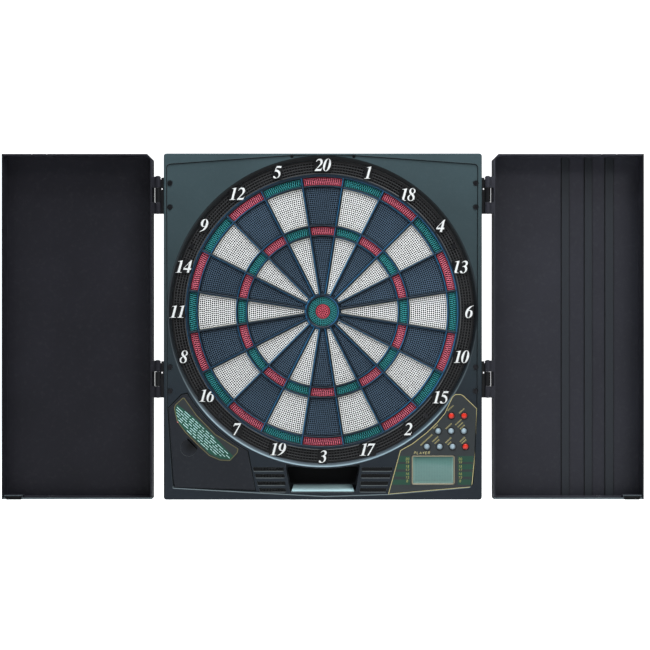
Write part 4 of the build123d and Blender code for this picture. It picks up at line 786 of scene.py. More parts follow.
bull_solid(
    radii=[12.3, 15.0, 17.7, 20.4], counts=[26, 32, 38],
    outside=[(20.8, 41.45), (21.1, 41.2), (21.2, 40.9), (21.2, 34.0), (22.5, 34.0),
             (22.5, 32.0)],
    inside=[(11.9, 41.5), (11.45, 41.42), (11.0, 41.15), (10.8, 40.8), (10.8, 36.8),
            (12.4, 36.8), (12.4, 32.0)],
).piece("bull_outer", ["teal_plastic", "bull_teal_face", "hole_teal", "hole_shadow"],
        "outer_bull_target", "teal_plastic", smooth=40, node="outer_bull")
bull_solid(
    radii=[0.0, 1.5, 4.2, 6.9, 9.6], counts=[1, 6, 12, 19],
    outside=[(9.85, 41.45), (10.08, 41.25), (10.2, 41.0), (10.2, 33.5), (11.5, 33.5),
             (11.5, 32.0)],
).piece("bull_inner", ["red_plastic", "bull_red_face", "hole_red", "hole_shadow"],
        "inner_bull_target", "red_plastic", smooth=40, node="inner_bull")

# ---------------------------------------------------------------- spider: rings and spokes
SPIDER_BACK = 34.3
# painted highlight: light blue on the flanks that face left
moulded("spider_plastic", (0.006, 0.015, 0.026), rough=0.34, spec=0.3, grain=700,
        grain_depth=0.00003, blotch=0.18,
        flank_highlight=((-0.93, -0.1, -0.12), (0.045, 0.21, 0.42), 2.2))


def rib_profile(r0, r1):
    """Ring rib with a flat crest and steep bevelled flanks."""
    flank = min(0.85, (r1 - r0) * 0.3)
    return [(r0, SPIDER_BACK), (r0, 42.1), (r0 + 0.18, 42.6), (r0 + flank, 43.36),
            (r0 + flank + 0.25, 43.5), (r1 - flank - 0.25, 43.5), (r1 - flank, 43.36),
            (r1 - 0.18, 42.6), (r1, 42.1), (r1, SPIDER_BACK)]


HUB_PROFILE = [(21.7, SPIDER_BACK), (21.7, 42.0), (22.0, 42.5), (22.9, 43.3), (23.3, 43.5),
               (24.2, 43.5), (24.7, 43.38), (26.4, 41.6), (26.9, 40.9), (26.9, SPIDER_BACK)]
# outer ring, the step under the number ring and the wall behind it
OUTER_PROFILE = [
    (196.7, SPIDER_BACK), (196.7, 42.1), (196.9, 42.6), (197.6, 43.36), (197.9, 43.5),
    (199.7, 43.5), (200.2, 43.4), (200.6, 42.9), (200.6, BAND_BACK), (221.2, BAND_BACK),
    (221.5, 38.0), (221.5, 25.7), (221.3, 25.5), (218.5, 25.5), (218.5, SPIDER_BACK)]
SPOKE_FLANK = [(-1.6, SPIDER_BACK), (-1.6, 42.1), (-1.45, 42.6), (-0.75, 43.32), (-0.45, 43.46)]
SPOKE_SECTION = SPOKE_FLANK + [(-side, h) for side, h in reversed(SPOKE_FLANK)]
SPOKE_JOINTS = [25.4, 111.1, 125.8, 183.6, 198.6]       # radii where a spoke's lengths meet

spider = Build()
for r0, r1 in ((182.3, 184.9), (124.5, 127.1), (110.0, 112.3)):
    spider.add(*lathe(rib_profile(r0, r1), 320))
spider.add(*lathe(HUB_PROFILE, 200))
spider.add(*lathe(OUTER_PROFILE, 360))
for i in range(len(NUMBERS)):
    angle = math.radians(SECTOR * (i + 0.5))
    cos, sin = math.cos(angle), math.sin(angle)
    for ends in zip(SPOKE_JOINTS, SPOKE_JOINTS[1:]):
        spider.add(*loft([[(r * sin + side * cos, r * cos - side * sin, h)
                           for side, h in SPOKE_SECTION] for r in ends]))
spider.piece("spider", ["spider_plastic"], "housing", "spider_plastic", smooth=30,
             node="spider_frame")

# ---------------------------------------------------------------- number ring
moulded("ring_plastic", (0.0035, 0.0035, 0.004), rough=0.42, spec=0.3, grain=1100, blotch=0.25)
moulded("ring_radial_ribs", (0.020, 0.020, 0.021), rough=0.45, spec=0.3, grain=1100, blotch=0.3)
moulded("ring_ribs", (0.050, 0.049, 0.050), rough=0.5, spec=0.25, grain=1100, blotch=0.3)
moulded("ring_slots", (0.002, 0.002, 0.002), rough=0.8, grain=1100, blotch=0.2)
# painted light: the bead line on the ring's inner edge is light grey, bright at the bottom and dark
# at the top
moulded("ring_line_painted_light", (0.11, 0.115, 0.12), rough=0.3, grain=900, blotch=0.2,
        by_height=[(0.0, grey(1.5)), (0.5, grey(0.8)), (1.0, grey(0.35))])

BAND_STEPS = 320                                        # slots round the band
SLOT_RADII = [202.5, 206.3, 210.4, 214.5, 218.6]        # borders of the rows of slots
PLAIN, RIB, SLOT, LINE, RADIAL_RIB = range(5)           # material indices
# steps down into a slot: inset along the radius, inset as a share of a cell's angle, h
SLOT_STEPS = [(0.0, 0.0, BAND_TOP), (0.24, 0.11, BAND_TOP), (0.52, 0.17, BAND_TOP - 0.25),
              (0.52, 0.17, BAND_TOP - 2.2)]
# inner border, outer border and back: radius, h, material of the face that ends there
BAND_PROFILES = [
    [(202.5, BAND_TOP, LINE), (202.3, BAND_TOP, LINE), (201.9, BAND_TOP + 0.28, LINE),
     (201.3, BAND_TOP + 0.28, LINE), (200.9, BAND_TOP - 0.1, PLAIN), (200.9, BAND_BACK, PLAIN)],
    [(218.6, BAND_TOP, PLAIN), (219.2, BAND_TOP, PLAIN), (221.0, BAND_TOP, PLAIN),
     (221.4, BAND_TOP - 0.2, PLAIN), (221.5, BAND_TOP - 0.6, PLAIN), (221.5, BAND_BACK, PLAIN)],
    [(200.9, BAND_BACK, PLAIN), (221.5, BAND_BACK, PLAIN)],
]


def band_spot(radius, step):
    return polar(radius, (step % BAND_STEPS) / BAND_STEPS)


band = Pierced()
for r0, r1 in zip(SLOT_RADII, SLOT_RADII[1:]):
    for i in range(BAND_STEPS):
        rings = []
        for dr, share, h in SLOT_STEPS:
            start, end = i + share, i + 1 - share
            rings.append(band.points([
                band_spot(r0 + dr, start), band_spot(r0 + dr, end),
                band_spot(r1 - dr, end), band_spot(r1 - dr, start)], h))
        for k in range(4):
            j = (k + 1) % 4
            rib = RIB if k % 2 == 0 else RADIAL_RIB
            for ring, other, mat in zip(rings, rings[1:], (rib, rib, SLOT)):
                band.face((ring[k], ring[j], other[j], other[k]), mat)
        band.face(rings[-1], SLOT)
for i in range(BAND_STEPS):
    for profile in BAND_PROFILES:
        for (r0, h0, _), (r1, h1, mat) in zip(profile, profile[1:]):
            band.face([band.point(*band_spot(r, step), h) for r, step, h in
                       ((r0, i, h0), (r0, i + 1, h0), (r1, i + 1, h1), (r1, i, h1))], mat)
band.piece("number_band",
           ["ring_plastic", "ring_ribs", "ring_slots", "ring_line_painted_light", "ring_radial_ribs"],
           "housing", "ring_plastic", smooth=35, node="number_ring")


# ---------------------------------------------------------------- pads behind the numerals
def numeral_points(i, radius):
    """Outline points of the number in sector i, centred at a radius."""
    text = str(NUMBERS[i])
    widths = [max(u for u, _ in DIGITS[digit]) for digit in text]
    x, z = polar(radius, i / len(NUMBERS))
    x -= NUMERAL_H * sum(widths) * 0.985 / 2
    points = []
    for digit, width in zip(text, widths):
        points += [(x + NUMERAL_H * 0.97 * u, z + NUMERAL_H * (v - 0.5))
                   for u, v in DIGITS[digit]]
        x += NUMERAL_H * width * 0.985
    return points


def pull(outline, limit, outwards=False):
    """Points beyond the limiting radius (or short of it) moved radially onto it."""
    moved = []
    for x, z in outline:
        r = math.hypot(x, z)
        if (r > limit) != outwards:
            x, z = x * limit / r, z * limit / r
        moved.append((x, z))
    return moved


def dense(outline, step=1.5):
    points = []
    for k, start in enumerate(outline):
        end = outline[(k + 1) % len(outline)]
        count = max(1, int(math.dist(start, end) / step))
        points += [(start[0] + (end[0] - start[0]) * j / count,
                    start[1] + (end[1] - start[1]) * j / count) for j in range(count)]
    return points


PAD_BORDER, PAD_CORNER, PAD_INNER_R = 0.8, 2.5, 201.2
pads = Build()
for i in range(len(NUMBERS)):
    # numbers in the lower half sit further in, and all stay within the pad's outer edge
    radius = NUMERAL_R - 2.6 * max(0.0, -math.cos(math.radians(SECTOR * i)))
    while max(math.hypot(*point) for point in numeral_points(i, radius)) > PAD_R - 0.5:
        radius -= 0.2
    xs, zs = zip(*numeral_points(i, radius))
    pad = rect(min(xs) - PAD_BORDER, min(zs) - PAD_BORDER,
               max(xs) + PAD_BORDER, max(zs) + PAD_BORDER, PAD_CORNER)
    pad = pull(pull(dense(pad), PAD_R), PAD_INNER_R, outwards=True)
    pads.add(*prism(pad, BAND_TOP - 0.5, PAD_TOP, bevel=0.35))
pads.piece("numeral_pads", ["ring_plastic"], "housing", "ring_plastic", smooth=40)
# the numerals' edges are darkened as painted shade on their sides
moulded("numeral_white", (0.84, 0.85, 0.83), edge=0.0008, wear=(0.01, 0.01, 0.01), rough=0.38,
        grain=1200, blotch=0.03)
dress_cad("ring_numerals", "numeral_white", smooth=30)


# ---------------------------------------------------------------- housing, doors, small parts
def cad_plastic(name, base, edge=0.0007, **looks):
    """Moulded plastic with rounded-looking edges, for CAD nodes."""
    moulded(name, base, edge=edge, **looks)


# painted shade: dark discs in the two catch recesses on the housing above the target
CATCH_PAINTED_SHADE = [(x, 226.6, 2.3, 0.8, (0.006, 0.007, 0.008)) for x in (-45.3, 45.3)]
# four horizontal grooves below the target in painted shade, then a painted highlight on the lower
# edge at both ends of each
GROOVES = (-230.4, -240.2, -251.1, -260.9)
GROOVE_PAINTED_LIGHT = [((-104.0, 104.0), (z - 2.75, z + 2.75), (30.0, 43.6), (0.003, 0.0035, 0.004))
          for z in GROOVES]
for k, z in enumerate(GROOVES):
    near, far = 57.5 - 0.9 * k, 101.0 - 3 * k
    for x_range in ((-far, -near), (near, far)):
        GROOVE_PAINTED_LIGHT.append((x_range, (z - 3.9, z - 2.6), (43.9, 45.2), (0.085, 0.10, 0.105)))


def door_foot(side):
    """Zones at the foot of a door, side -1 for the left and 1 for the right: a painted highlight on
    the bottom wall's edge and on the wall above the free corner, then painted shade at the free
    corner and the dark outer side."""
    corner = tuple(sorted((side * 440.5, side * 463.5)))
    wall = tuple(sorted((side * 438.5, side * 465.5)))
    beyond = (466.6, None) if side > 0 else (None, -466.6)
    return [(None, (-273.7, -271.9), (45.2, None), (0.15, 0.19, 0.20)),
            (wall, (-269.7, -267.9), (45.0, None), (0.075, 0.09, 0.10)),
            (corner, (None, -269.8), (33.0, None), (0.0022, 0.0022, 0.0026)),
            (beyond, None, (40.0, None), (0.006, 0.006, 0.008))]


# upright ribs on the right door, each with a dark line on both sides
RIB_H = (13.0, 17.5)
DOOR_RIBS = []
for x0, x1 in ((353.2, 364.0), (387.2, 398.0), (417.6, 429.6)):
    DOOR_RIBS.append(((x0 + 0.2, x1 - 0.2), None, RIB_H, (0.0235, 0.0265, 0.032)))
    for x_range in ((x0 - 0.9, x0 + 0.2), (x1 - 0.2, x1 + 0.9)):
        DOOR_RIBS.append((x_range, None, RIB_H, (0.006, 0.006, 0.007)))

# painted shade: the housing turns darker towards the bottom
HOUSING_PAINTED_SHADE = [(0.0, (0.31, 0.27, 0.33)), (0.3, (0.34, 0.30, 0.36)),
                 (0.55, (0.62, 0.60, 0.60)), (1.0, grey(1.0))]
# painted light: the doors turn lighter near their top, against the top wall's shadow
DOOR_PAINTED_LIGHT = [(0.0, grey(1)), (0.80, grey(1)), (0.92, grey(1.18)), (1.0, grey(1.6))]

# housing: painted shade towards the bottom, in the grooves and in the catch recesses, painted
# highlight on the grooves' lower edges, and lighter edges that are edge wear and painted highlight
cad_plastic("housing_plastic", (0.043, 0.069, 0.077), by_height=HOUSING_PAINTED_SHADE, zones=GROOVE_PAINTED_LIGHT,
            spots=CATCH_PAINTED_SHADE, rough=0.42, grain=620, grain_depth=0.00012,
            grain_strength=0.7, blotch=0.14, dust=0.02, spec=0.25, wear=(0.13, 0.15, 0.15))
cad_plastic("cover_plastic", (0.025, 0.026, 0.028), rough=0.6, grain=620, grain_depth=0.0001,
            blotch=0.15)
cad_plastic("door_plastic_dark", (0.0130, 0.0125, 0.017), zones=door_foot(-1),
            by_height=DOOR_PAINTED_LIGHT, rough=0.48, grain=640, grain_depth=0.0001,
            grain_strength=0.6, blotch=0.18, dust=0.015, spec=0.2, wear=(0.04, 0.045, 0.05))
cad_plastic("door_plastic_grey", (0.0215, 0.0215, 0.0285), zones=DOOR_RIBS + door_foot(1),
            by_height=DOOR_PAINTED_LIGHT, rough=0.5, grain=640, grain_depth=0.0001,
            grain_strength=0.6, blotch=0.16, dust=0.02, spec=0.25, wear=(0.055, 0.06, 0.065))
# painted shade: a soft dark spot in the finger recess
cad_plastic("lid_plastic", (0.0145, 0.0165, 0.0215),
            spots=[(-193.0, -196.5, 2.5, 11.0, (0.0022, 0.0022, 0.003))], rough=0.5, grain=620,
            grain_depth=0.00012, grain_strength=0.7, blotch=0.14, dust=0.02, spec=0.25,
            wear=(0.12, 0.13, 0.13))
# painted shade: a dark halo round each button
cad_plastic("overlay_film", (0.022, 0.027, 0.029), rough=0.42, grain=1400,
            grain_depth=0.00003, blotch=0.1,
            spots=[(x, z, 5.2, 1.6, (0.007, 0.008, 0.009)) for x, z in BUTTONS.values()])
cad_plastic("label_film", (0.021, 0.025, 0.027), edge=0.0002, rough=0.4, grain=1400,
            grain_depth=0.00002, blotch=0.12)
# inks: name, base colour, roughness, grain, colour drift
for name, base, rough, grain, blotch in (
    ("gold_ink_text", (0.33, 0.29, 0.125), 0.42, 2000, 0.18),
    ("gold_ink", (0.50, 0.44, 0.20), 0.4, 2000, 0.18),
    ("gold_ink_thin", (0.17, 0.15, 0.05), 0.45, 2000, 0.3),
    ("green_ink", (0.008, 0.056, 0.032), 0.42, 1600, 0.22),
    ("yellow_ink", (0.36, 0.37, 0.10), 0.45, 2000, 0.15),
    ("label_green", (0.004, 0.068, 0.041), 0.4, 700, 0.35),
    ("mint_ink", (0.52, 0.84, 0.78), 0.45, 2000, 0.25),
):
    moulded(name, base, rough=rough, grain=grain, grain_depth=0.00001, blotch=blotch)
cad_plastic("hinge_black", (0.005, 0.005, 0.006), edge=0.0004, rough=0.36, grain=1200,
            grain_depth=0.00004, blotch=0.2, spec=0.3, wear=(0.05, 0.05, 0.05))
metal("black_screw", (0.05, 0.05, 0.055), rough=0.35)
metal("plated_steel", (0.55, 0.55, 0.56), rough=0.3)
moulded("mat_rubber", (0.10, 0.10, 0.11), rough=0.75, grain=900)
moulded("film", (0.45, 0.46, 0.48), rough=0.3, grain=1200, grain_depth=0.00001)
moulded("foam", (0.05, 0.05, 0.05), rough=0.9, grain=500, grain_depth=0.0003)
moulded("hardboard", (0.17, 0.10, 0.055), rough=0.8, grain=420, grain_depth=0.0002, blotch=0.3)
moulded("circuit_board", (0.012, 0.09, 0.035), rough=0.35, grain=800, blotch=0.3)
cad_plastic("black_plastic", (0.012, 0.012, 0.012), edge=0.0003, rough=0.45, grain=900)
moulded("battery_wrap", (0.03, 0.10, 0.12), rough=0.3, grain=900, grain_depth=0.00002,
        blotch=0.3)

# CAD node, material, and the slot where its name differs
for node, material, *slot in (
    ("front_bezel", "housing_plastic"), ("rear_cover", "cover_plastic"),
    ("battery_cover", "cover_plastic"), ("door_left", "door_plastic_dark"),
    ("door_right", "door_plastic_grey"), ("hinge_leaves", "hinge_black"),
    ("hinge_pins", "plated_steel"), ("front_screws", "black_screw"),
    ("case_screws", "plated_steel"), ("compartment_lid", "lid_plastic", "housing_plastic"),
    ("game_list_label", "label_film", "label_print"),
    ("control_panel_overlay", "overlay_film", "overlay_print"),
    ("actuator_mat", "mat_rubber"), ("button_keypad", "mat_rubber"),
    ("matrix_front_film", "film"), ("matrix_spacer", "film"), ("matrix_rear_film", "film"),
    ("foam_pad", "foam"), ("backing_board", "hardboard"),
    ("main_circuit_board", "circuit_board"), ("lcd_module", "black_plastic", "lcd_glass"),
    ("speaker", "black_plastic", "speaker_black"), ("batteries", "battery_wrap"),
    ("battery_contacts", "plated_steel"), ("dc_jack", "black_plastic", "jack_black"),
):
    dress_cad(node, material)

# ---------------------------------------------------------------- sloped step inside the rim
RIM = [(-229.0, 215.4), (-46.4, 228.5), (44.1, 228.5), (227.0, 215.4), (225.9, -141.6),
       (220.8, -250.4), (215.0, -257.6), (94.6, -267.9), (3.2, -270.8), (-80.0, -266.5),
       (-219.1, -258.7), (-227.8, -139.9)]
# painted shade: the sloped step is near-black all round, with a paler painted highlight along the
# bottom
moulded("rim_seam", (0.009, 0.012, 0.014), rough=0.5, spec=0.2, grain=620, blotch=0.25,
        zones=[(None, (None, -255.5), None, (0.12, 0.15, 0.16))])
rim = []
for k, point in enumerate(RIM):
    # the two outer top corners are round, the others nearly sharp
    radius, steps = (6.5, 8) if k in (0, 3) else (1.3, 3)
    rim += round_corner(RIM[k - 1], point, RIM[(k + 1) % len(RIM)], radius, steps)
rim_levels = [level(inset(rim, distance), h)
              for distance, h in ((-0.02, 45.95), (1.15, 44.55), (1.2, 44.4), (-0.02, 44.4))]
piece("rim_step", *loft(rim_levels, closed=True), ["rim_seam"], "housing", "housing_plastic",
      smooth=25)

# ---------------------------------------------------------------- printing on the overlay
PANEL = [(94.6, -267.9), (112.7, -202.5), (130.5, -192.5), (150.5, -177.0), (166.5, -161.5),
         (177.5, -148.5), (188.6, -124.5), (193.5, -120.3), (201.8, -120.3), (206.0, -122.5),
         (225.9, -141.6), (224.2, -198.0), (219.0, -252.5), (217.4, -257.2)]
PANEL_INNER = inset(PANEL, 2.0)
INK = 44.88                 # height of the overlay's printing
GOLD, GREEN, YELLOW, GOLD_TEXT = range(4)
BARS = [(-211.262, -219.73), (-222.942, -230.534), (-234.33, -241.192), (-245.426, -253.018)]
BAR_LEFT_END = 127.604                          # right end of the bars left of the display
BAR_RIGHT = (197.392, 221.19)                   # x range of the bars right of it
SCORE_LABELS = (("20", -215.496), ("19", -220.46), ("18", -226.3), ("17", -231.556),
                ("16", -237.104), ("15", -242.36), ("B", -247.616))
SCORE_X = (123.37, 200.75)

# letters as strokes, in units of the height
STROKES = {
    "P": [[(0, 0), (0, 1), (0.6, 1), (0.6, 0.5), (0, 0.5)]],
    "L": [[(0, 1), (0, 0), (0.6, 0)]],
    "A": [[(0, 0), (0.35, 1), (0.7, 0)], [(0.16, 0.38), (0.54, 0.38)]],
    "Y": [[(0, 1), (0.35, 0.5), (0.7, 1)], [(0.35, 0.5), (0.35, 0)]],
    "E": [[(0.6, 0), (0, 0), (0, 1), (0.6, 1)], [(0, 0.5), (0.5, 0.5)]],
    "R": [[(0, 0), (0, 1), (0.6, 1), (0.6, 0.5), (0, 0.5)], [(0.25, 0.5), (0.65, 0)]],
    "B": [[(0, 0), (0, 1), (0.5, 1), (0.55, 0.75), (0.4, 0.52), (0.0, 0.52)],
          [(0.4, 0.52), (0.6, 0.3), (0.5, 0), (0, 0)]],
    "0": [[(0.1, 0), (0, 0.5), (0.1, 1), (0.5, 1), (0.6, 0.5), (0.5, 0), (0.1, 0)]],
    "1": [[(0.1, 0.8), (0.35, 1), (0.3, 0)]],
    "2": [[(0, 0.8), (0.15, 1), (0.5, 1), (0.6, 0.7), (0, 0), (0.6, 0)]],
    "5": [[(0.6, 1), (0.1, 1), (0.05, 0.58), (0.5, 0.58), (0.6, 0.3), (0.5, 0), (0, 0)]],
    "6": [[(0.5, 1), (0.15, 0.7), (0, 0.3), (0.1, 0), (0.5, 0), (0.6, 0.3), (0.45, 0.55),
           (0.05, 0.5)]],
    "7": [[(0, 1), (0.6, 1), (0.2, 0)]],
    "8": [[(0.3, 0.53), (0.05, 0.78), (0.15, 1), (0.45, 1), (0.55, 0.78), (0.3, 0.53),
           (0.0, 0.25), (0.12, 0), (0.48, 0), (0.6, 0.25), (0.3, 0.53)]],
    "9": [[(0.55, 0.5), (0.15, 0.45), (0, 0.7), (0.12, 1), (0.5, 1), (0.6, 0.7),
           (0.45, 0.3), (0.1, 0)]],
}
# rows of small marks near the buttons: centre x, centre z, length
CAPTIONS = (
    (186.88, -140.89, 12.0), (203.378, -144.686, 11.2), (164.98, -168.046, 8.6),
    (183.96, -167.462, 11.6), (198.268, -161.622, 12.2), (201.334, -165.126, 11.6),
    (204.108, -168.63, 9.0), (151.402, -187.61, 23.4), (164.396, -186.442, 11.6),
    (167.17, -189.654, 10.0), (183.96, -187.61, 12.6), (185.128, -192.428, 6.4),
    (204.254, -186.734, 10.6), (206.59, -189.654, 9.6),
)
CAPTION_SLOPE = math.radians(43)


def panel_sides(z):
    """Leftmost and rightmost x of the panel's inner outline at height z."""
    crossings = []
    for k, (x0, z0) in enumerate(PANEL_INNER):
        x1, z1 = PANEL_INNER[(k + 1) % len(PANEL_INNER)]
        if (z0 - z) * (z1 - z) <= 0 and z0 != z1:
            crossings.append(x0 + (x1 - x0) * (z - z0) / (z1 - z0))
    return min(crossings), max(crossings)


def write(build, text, centre, height, width, mat, h, slant=0.15, step=0.85):
    """Text in strokes of a given width; step is the letter pitch in heights."""
    x = -(len(text) * step * height - 0.2 * height) / 2
    for letter in text:
        for stroke in STROKES[letter]:
            points = [(centre[0] + x + (u + slant * v) * height,
                       centre[1] + (v - 0.5) * height) for u, v in stroke]
            for start, end in zip(points, points[1:]):
                build.add(*strip(start, end, width, h), mat=mat)
        x += step * height


ink = Build()
ink.add(*outline_ink(inset(PANEL, 1.0), width=0.95, h0=INK, thick=0.1), mat=GOLD)
for top, low in BARS:
    (left_top, right_top), (left_low, right_low) = panel_sides(top), panel_sides(low)
    x0, x1 = BAR_RIGHT[0], min(BAR_RIGHT[1], right_low, right_top)
    for bar in ([(left_low, low), (BAR_LEFT_END, low), (BAR_LEFT_END, top), (left_top, top)],
                [(x0, low), (x1, low), (x1, top), (x0, top)]):
        ink.add(*prism(bar, INK, INK + 0.05), mat=GREEN)
for text, z in SCORE_LABELS:
    for x in SCORE_X:
        write(ink, text, (x, z), height=3.2, width=0.5, mat=YELLOW, h=INK + 0.06)
write(ink, "PLAYER", (145.124, -206.59), height=3.5, width=0.6, mat=GOLD, h=INK, slant=0.2,
      step=1.16)
rng = np.random.default_rng(7)
cos, sin = math.cos(CAPTION_SLOPE), math.sin(CAPTION_SLOPE)
for x, z, length in CAPTIONS:
    start = -length / 2
    while start < length / 2 - 0.8:
        width = float(rng.uniform(0.8, 1.5))
        half = float(rng.uniform(1.7, 2.3)) / 2
        end = min(start + width, length / 2)
        mark = [(x + u * cos - v * sin, z + u * sin + v * cos)
                for u, v in ((start, -half), (end, -half), (end, half), (start, half))]
        ink.add(*prism(mark, INK, INK + 0.08), mat=GOLD_TEXT)
        start = end + 0.6
ink.piece("overlay_print", ["gold_ink", "green_ink", "yellow_ink", "gold_ink_text"],
          "housing", "overlay_print")


# ---------------------------------------------------------------- display
def lcd_glass():
    """Grey-green glass with a faint grid, a painted shadow along the top and a painted highlight
    along the other edges.
    """
    shader = Shader("lcd_glass")
    cells = shader.node("ShaderNodeTexBrick")
    mapping = shader.node("ShaderNodeMapping")
    mapping.inputs["Rotation"].default_value = (math.radians(90), 0, 0)
    shader.link(shader.coords, mapping.inputs["Vector"])
    shader.link(mapping.outputs["Vector"], cells.inputs["Vector"])
    cells.offset = 0.0
    for key, value in (("Scale", 130.0), ("Mortar Size", 0.06),
                       ("Color1", (0.080, 0.185, 0.168)), ("Color2", (0.092, 0.208, 0.186)),
                       ("Mortar", (0.108, 0.23, 0.205))):
        shader.feed(cells.inputs[key], value)
    cloud = shader.noise(45.0, detail=4.0, rough=0.65)
    colour = shader.mix(shader.math("MULTIPLY", cloud, 0.55), cells.outputs["Color"],
                        (0.13, 0.26, 0.23))
    axes = shader.axes()
    top = shader.fade(axes["Z"], zero=-0.2225, one=-0.2130)
    low = shader.fade(axes["Z"], zero=-0.2482, one=-0.2510)
    right = shader.fade(axes["X"], zero=0.1882, one=0.1905)
    left = shader.fade(axes["X"], zero=0.1355, one=0.1325)
    colour = shader.mix(shader.math("MULTIPLY", top, 0.55), colour, (0.06, 0.15, 0.125))
    pale = shader.math("MAXIMUM", shader.math("MAXIMUM", low, right),
                       shader.math("MULTIPLY", left, 0.5))
    colour = shader.mix(shader.math("MULTIPLY", pale, 0.30), colour, (0.42, 0.62, 0.52))
    rough = shader.math("ADD", shader.math("MULTIPLY", cloud, 0.1), 0.14)
    shader.finish(Base_Color=colour, Roughness=rough, Coat_Weight=0.6, Coat_Roughness=0.08)


lcd_glass()
moulded("window_frame", (0.26, 0.235, 0.16), rough=0.32, grain=1500, grain_depth=0.00002,
        blotch=0.2)
# section of the frame: distance inwards from its middle line, h
FRAME_SECTION = [(-1.05, 41.4), (-1.05, 44.6), (-0.75, 44.95), (0.35, 44.95), (0.75, 44.6),
                 (0.75, 41.4)]
x0, z0, x1, z1 = LCD
display = Build()
display.add(*prism(rect(x0 + 0.6, z0 + 0.6, x1 - 0.6, z1 - 0.6, 1.4), 41.4, 43.7, bevel=0.35))
frame_line = rect(x0 - 0.2, z0 - 0.2, x1 + 0.2, z1 + 0.2, 2.2)
display.add(*loft([level(inset(frame_line, distance), h) for distance, h in FRAME_SECTION],
                  closed=True), mat=1)
display.piece("lcd_display", ["lcd_glass", "window_frame"], "housing", "clear_window",
              smooth=35, node="lcd_window")


# ---------------------------------------------------------------- buttons: domed caps
def button_plastic(name, base, crown_highlight, rough):
    """Each cap gets a painted highlight on its crown, up and to the left."""
    moulded(name, base, rough=rough, grain=900, grain_depth=0.00001, blotch=0.08, coat=0.3,
            spots=[(x - 0.5, z + 0.7, 1.5, 3.4, crown_highlight) for x, z in BUTTONS.values()])


button_plastic("button_red", (0.22, 0.004, 0.002), crown_highlight=(0.85, 0.032, 0.010), rough=0.28)
button_plastic("button_grey", (0.050, 0.075, 0.090), crown_highlight=(0.40, 0.52, 0.59), rough=0.3)
CAP_R, CAP_SHOULDER = 4.25, 45.1
cap_profile = [(0, 36.0), (CAP_R, 36.0), (CAP_R, 37.2), (5.8, 37.2), (5.8, 38.8), (CAP_R, 38.8),
               (CAP_R, CAP_SHOULDER)]
for k in range(1, 6):
    angle = math.pi / 2 * k / 6
    cap_profile.append((2.55 + 1.7 * math.cos(angle), CAP_SHOULDER + 1.3 * math.sin(angle)))
cap_profile += [(2.2, 46.46), (1.2, 46.56), (0, 46.6)]
for name, centre in BUTTONS.items():
    plastic = "button_red" if "red" in name else "button_grey"
    piece(f"cap_{name}", *dome(cap_profile, centre), [plastic], f"button_{name}_cap", plastic,
          smooth=40, node=f"button_{name}")

# ---------------------------------------------------------------- printing on the lid's label
LABEL = [(-203.4, -124.1), (-184.1, -151.0), (-157.2, -178.6), (-122.9, -200.3),
         (-124.5, -207.0), (-135.5, -218.7), (-150.5, -218.0), (-166.4, -211.3),
         (-184.1, -194.5), (-201.6, -176.8), (-213.5, -160.9), (-218.0, -140.9),
         (-216.0, -135.8)]
GREEN_FIELD = [(-213.306, -135.634), (-189.07, -153.592), (-172.864, -168.192),
               (-156.512, -184.398), (-140.306, -202.21), (-129.648, -211.992),
               (-133.882, -216.664), (-150.088, -215.204), (-166.294, -207.174),
               (-176.076, -196.954), (-189.07, -184.982), (-202.94, -171.404),
               (-211.992, -160.454), (-215.934, -150.234), (-215.934, -142.058)]
DASH_ORIGIN, DASH_SLOPE, DASH_ROW_PITCH = (-174.908, -178.85), math.radians(-42.5), 3.05
DASH_REACH = 62.0           # the rows run this far to both sides of the origin
MARK_CENTRE, MARK_R, MARK_SIDES = (-211.992, -161.768), 0.8, 10
label_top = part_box("game_list_label")[0].y * -1000.0


def inside(point, outline):
    hit = False
    for k, (x0, z0) in enumerate(outline):
        x1, z1 = outline[(k + 1) % len(outline)]
        if (z0 > point[1]) != (z1 > point[1]):
            if point[0] < x0 + (x1 - x0) * (point[1] - z0) / (z1 - z0):
                hit = not hit
    return hit


label_ink = Build()
label_ink.add(*outline_ink(inset(rounded(LABEL, 3.0, steps=4), 1.0), width=0.8,
                           h0=label_top - 0.02, thick=0.09), mat=0)
label_ink.add(*prism(GREEN_FIELD, label_top - 0.02, label_top + 0.03), mat=1)
# slanting rows of mint dashes, kept where both ends lie in the green field
rng = np.random.default_rng(11)
dash_area = inset(GREEN_FIELD, 1.4)
cos, sin = math.cos(DASH_SLOPE), math.sin(DASH_SLOPE)
for row in range(-5, 6):
    along = -DASH_REACH + float(rng.uniform(0, 5))
    while along < DASH_REACH:
        length = float(rng.uniform(3.5, 12.0))
        start = (DASH_ORIGIN[0] + cos * along - sin * row * DASH_ROW_PITCH,
                 DASH_ORIGIN[1] + sin * along + cos * row * DASH_ROW_PITCH)
        end = (start[0] + cos * length, start[1] + sin * length)
        if inside(start, dash_area) and inside(end, dash_area):
            label_ink.add(*strip(start, end, 0.85, label_top + 0.03), mat=2)
            along += length + float(rng.uniform(1.2, 3.6))
        else:
            along += 1.0
mark_angles = [2 * math.pi * k / MARK_SIDES for k in range(MARK_SIDES)]
mark = [(MARK_CENTRE[0] + MARK_R * math.cos(a), MARK_CENTRE[1] + MARK_R * math.sin(a))
        for a in mark_angles]
label_ink.add(*prism(mark, label_top + 0.03, label_top + 0.09), mat=3)
label_ink.piece("label_ink", ["gold_ink_thin", "label_green", "mint_ink", "red_face"],
                "lid", "label_print")


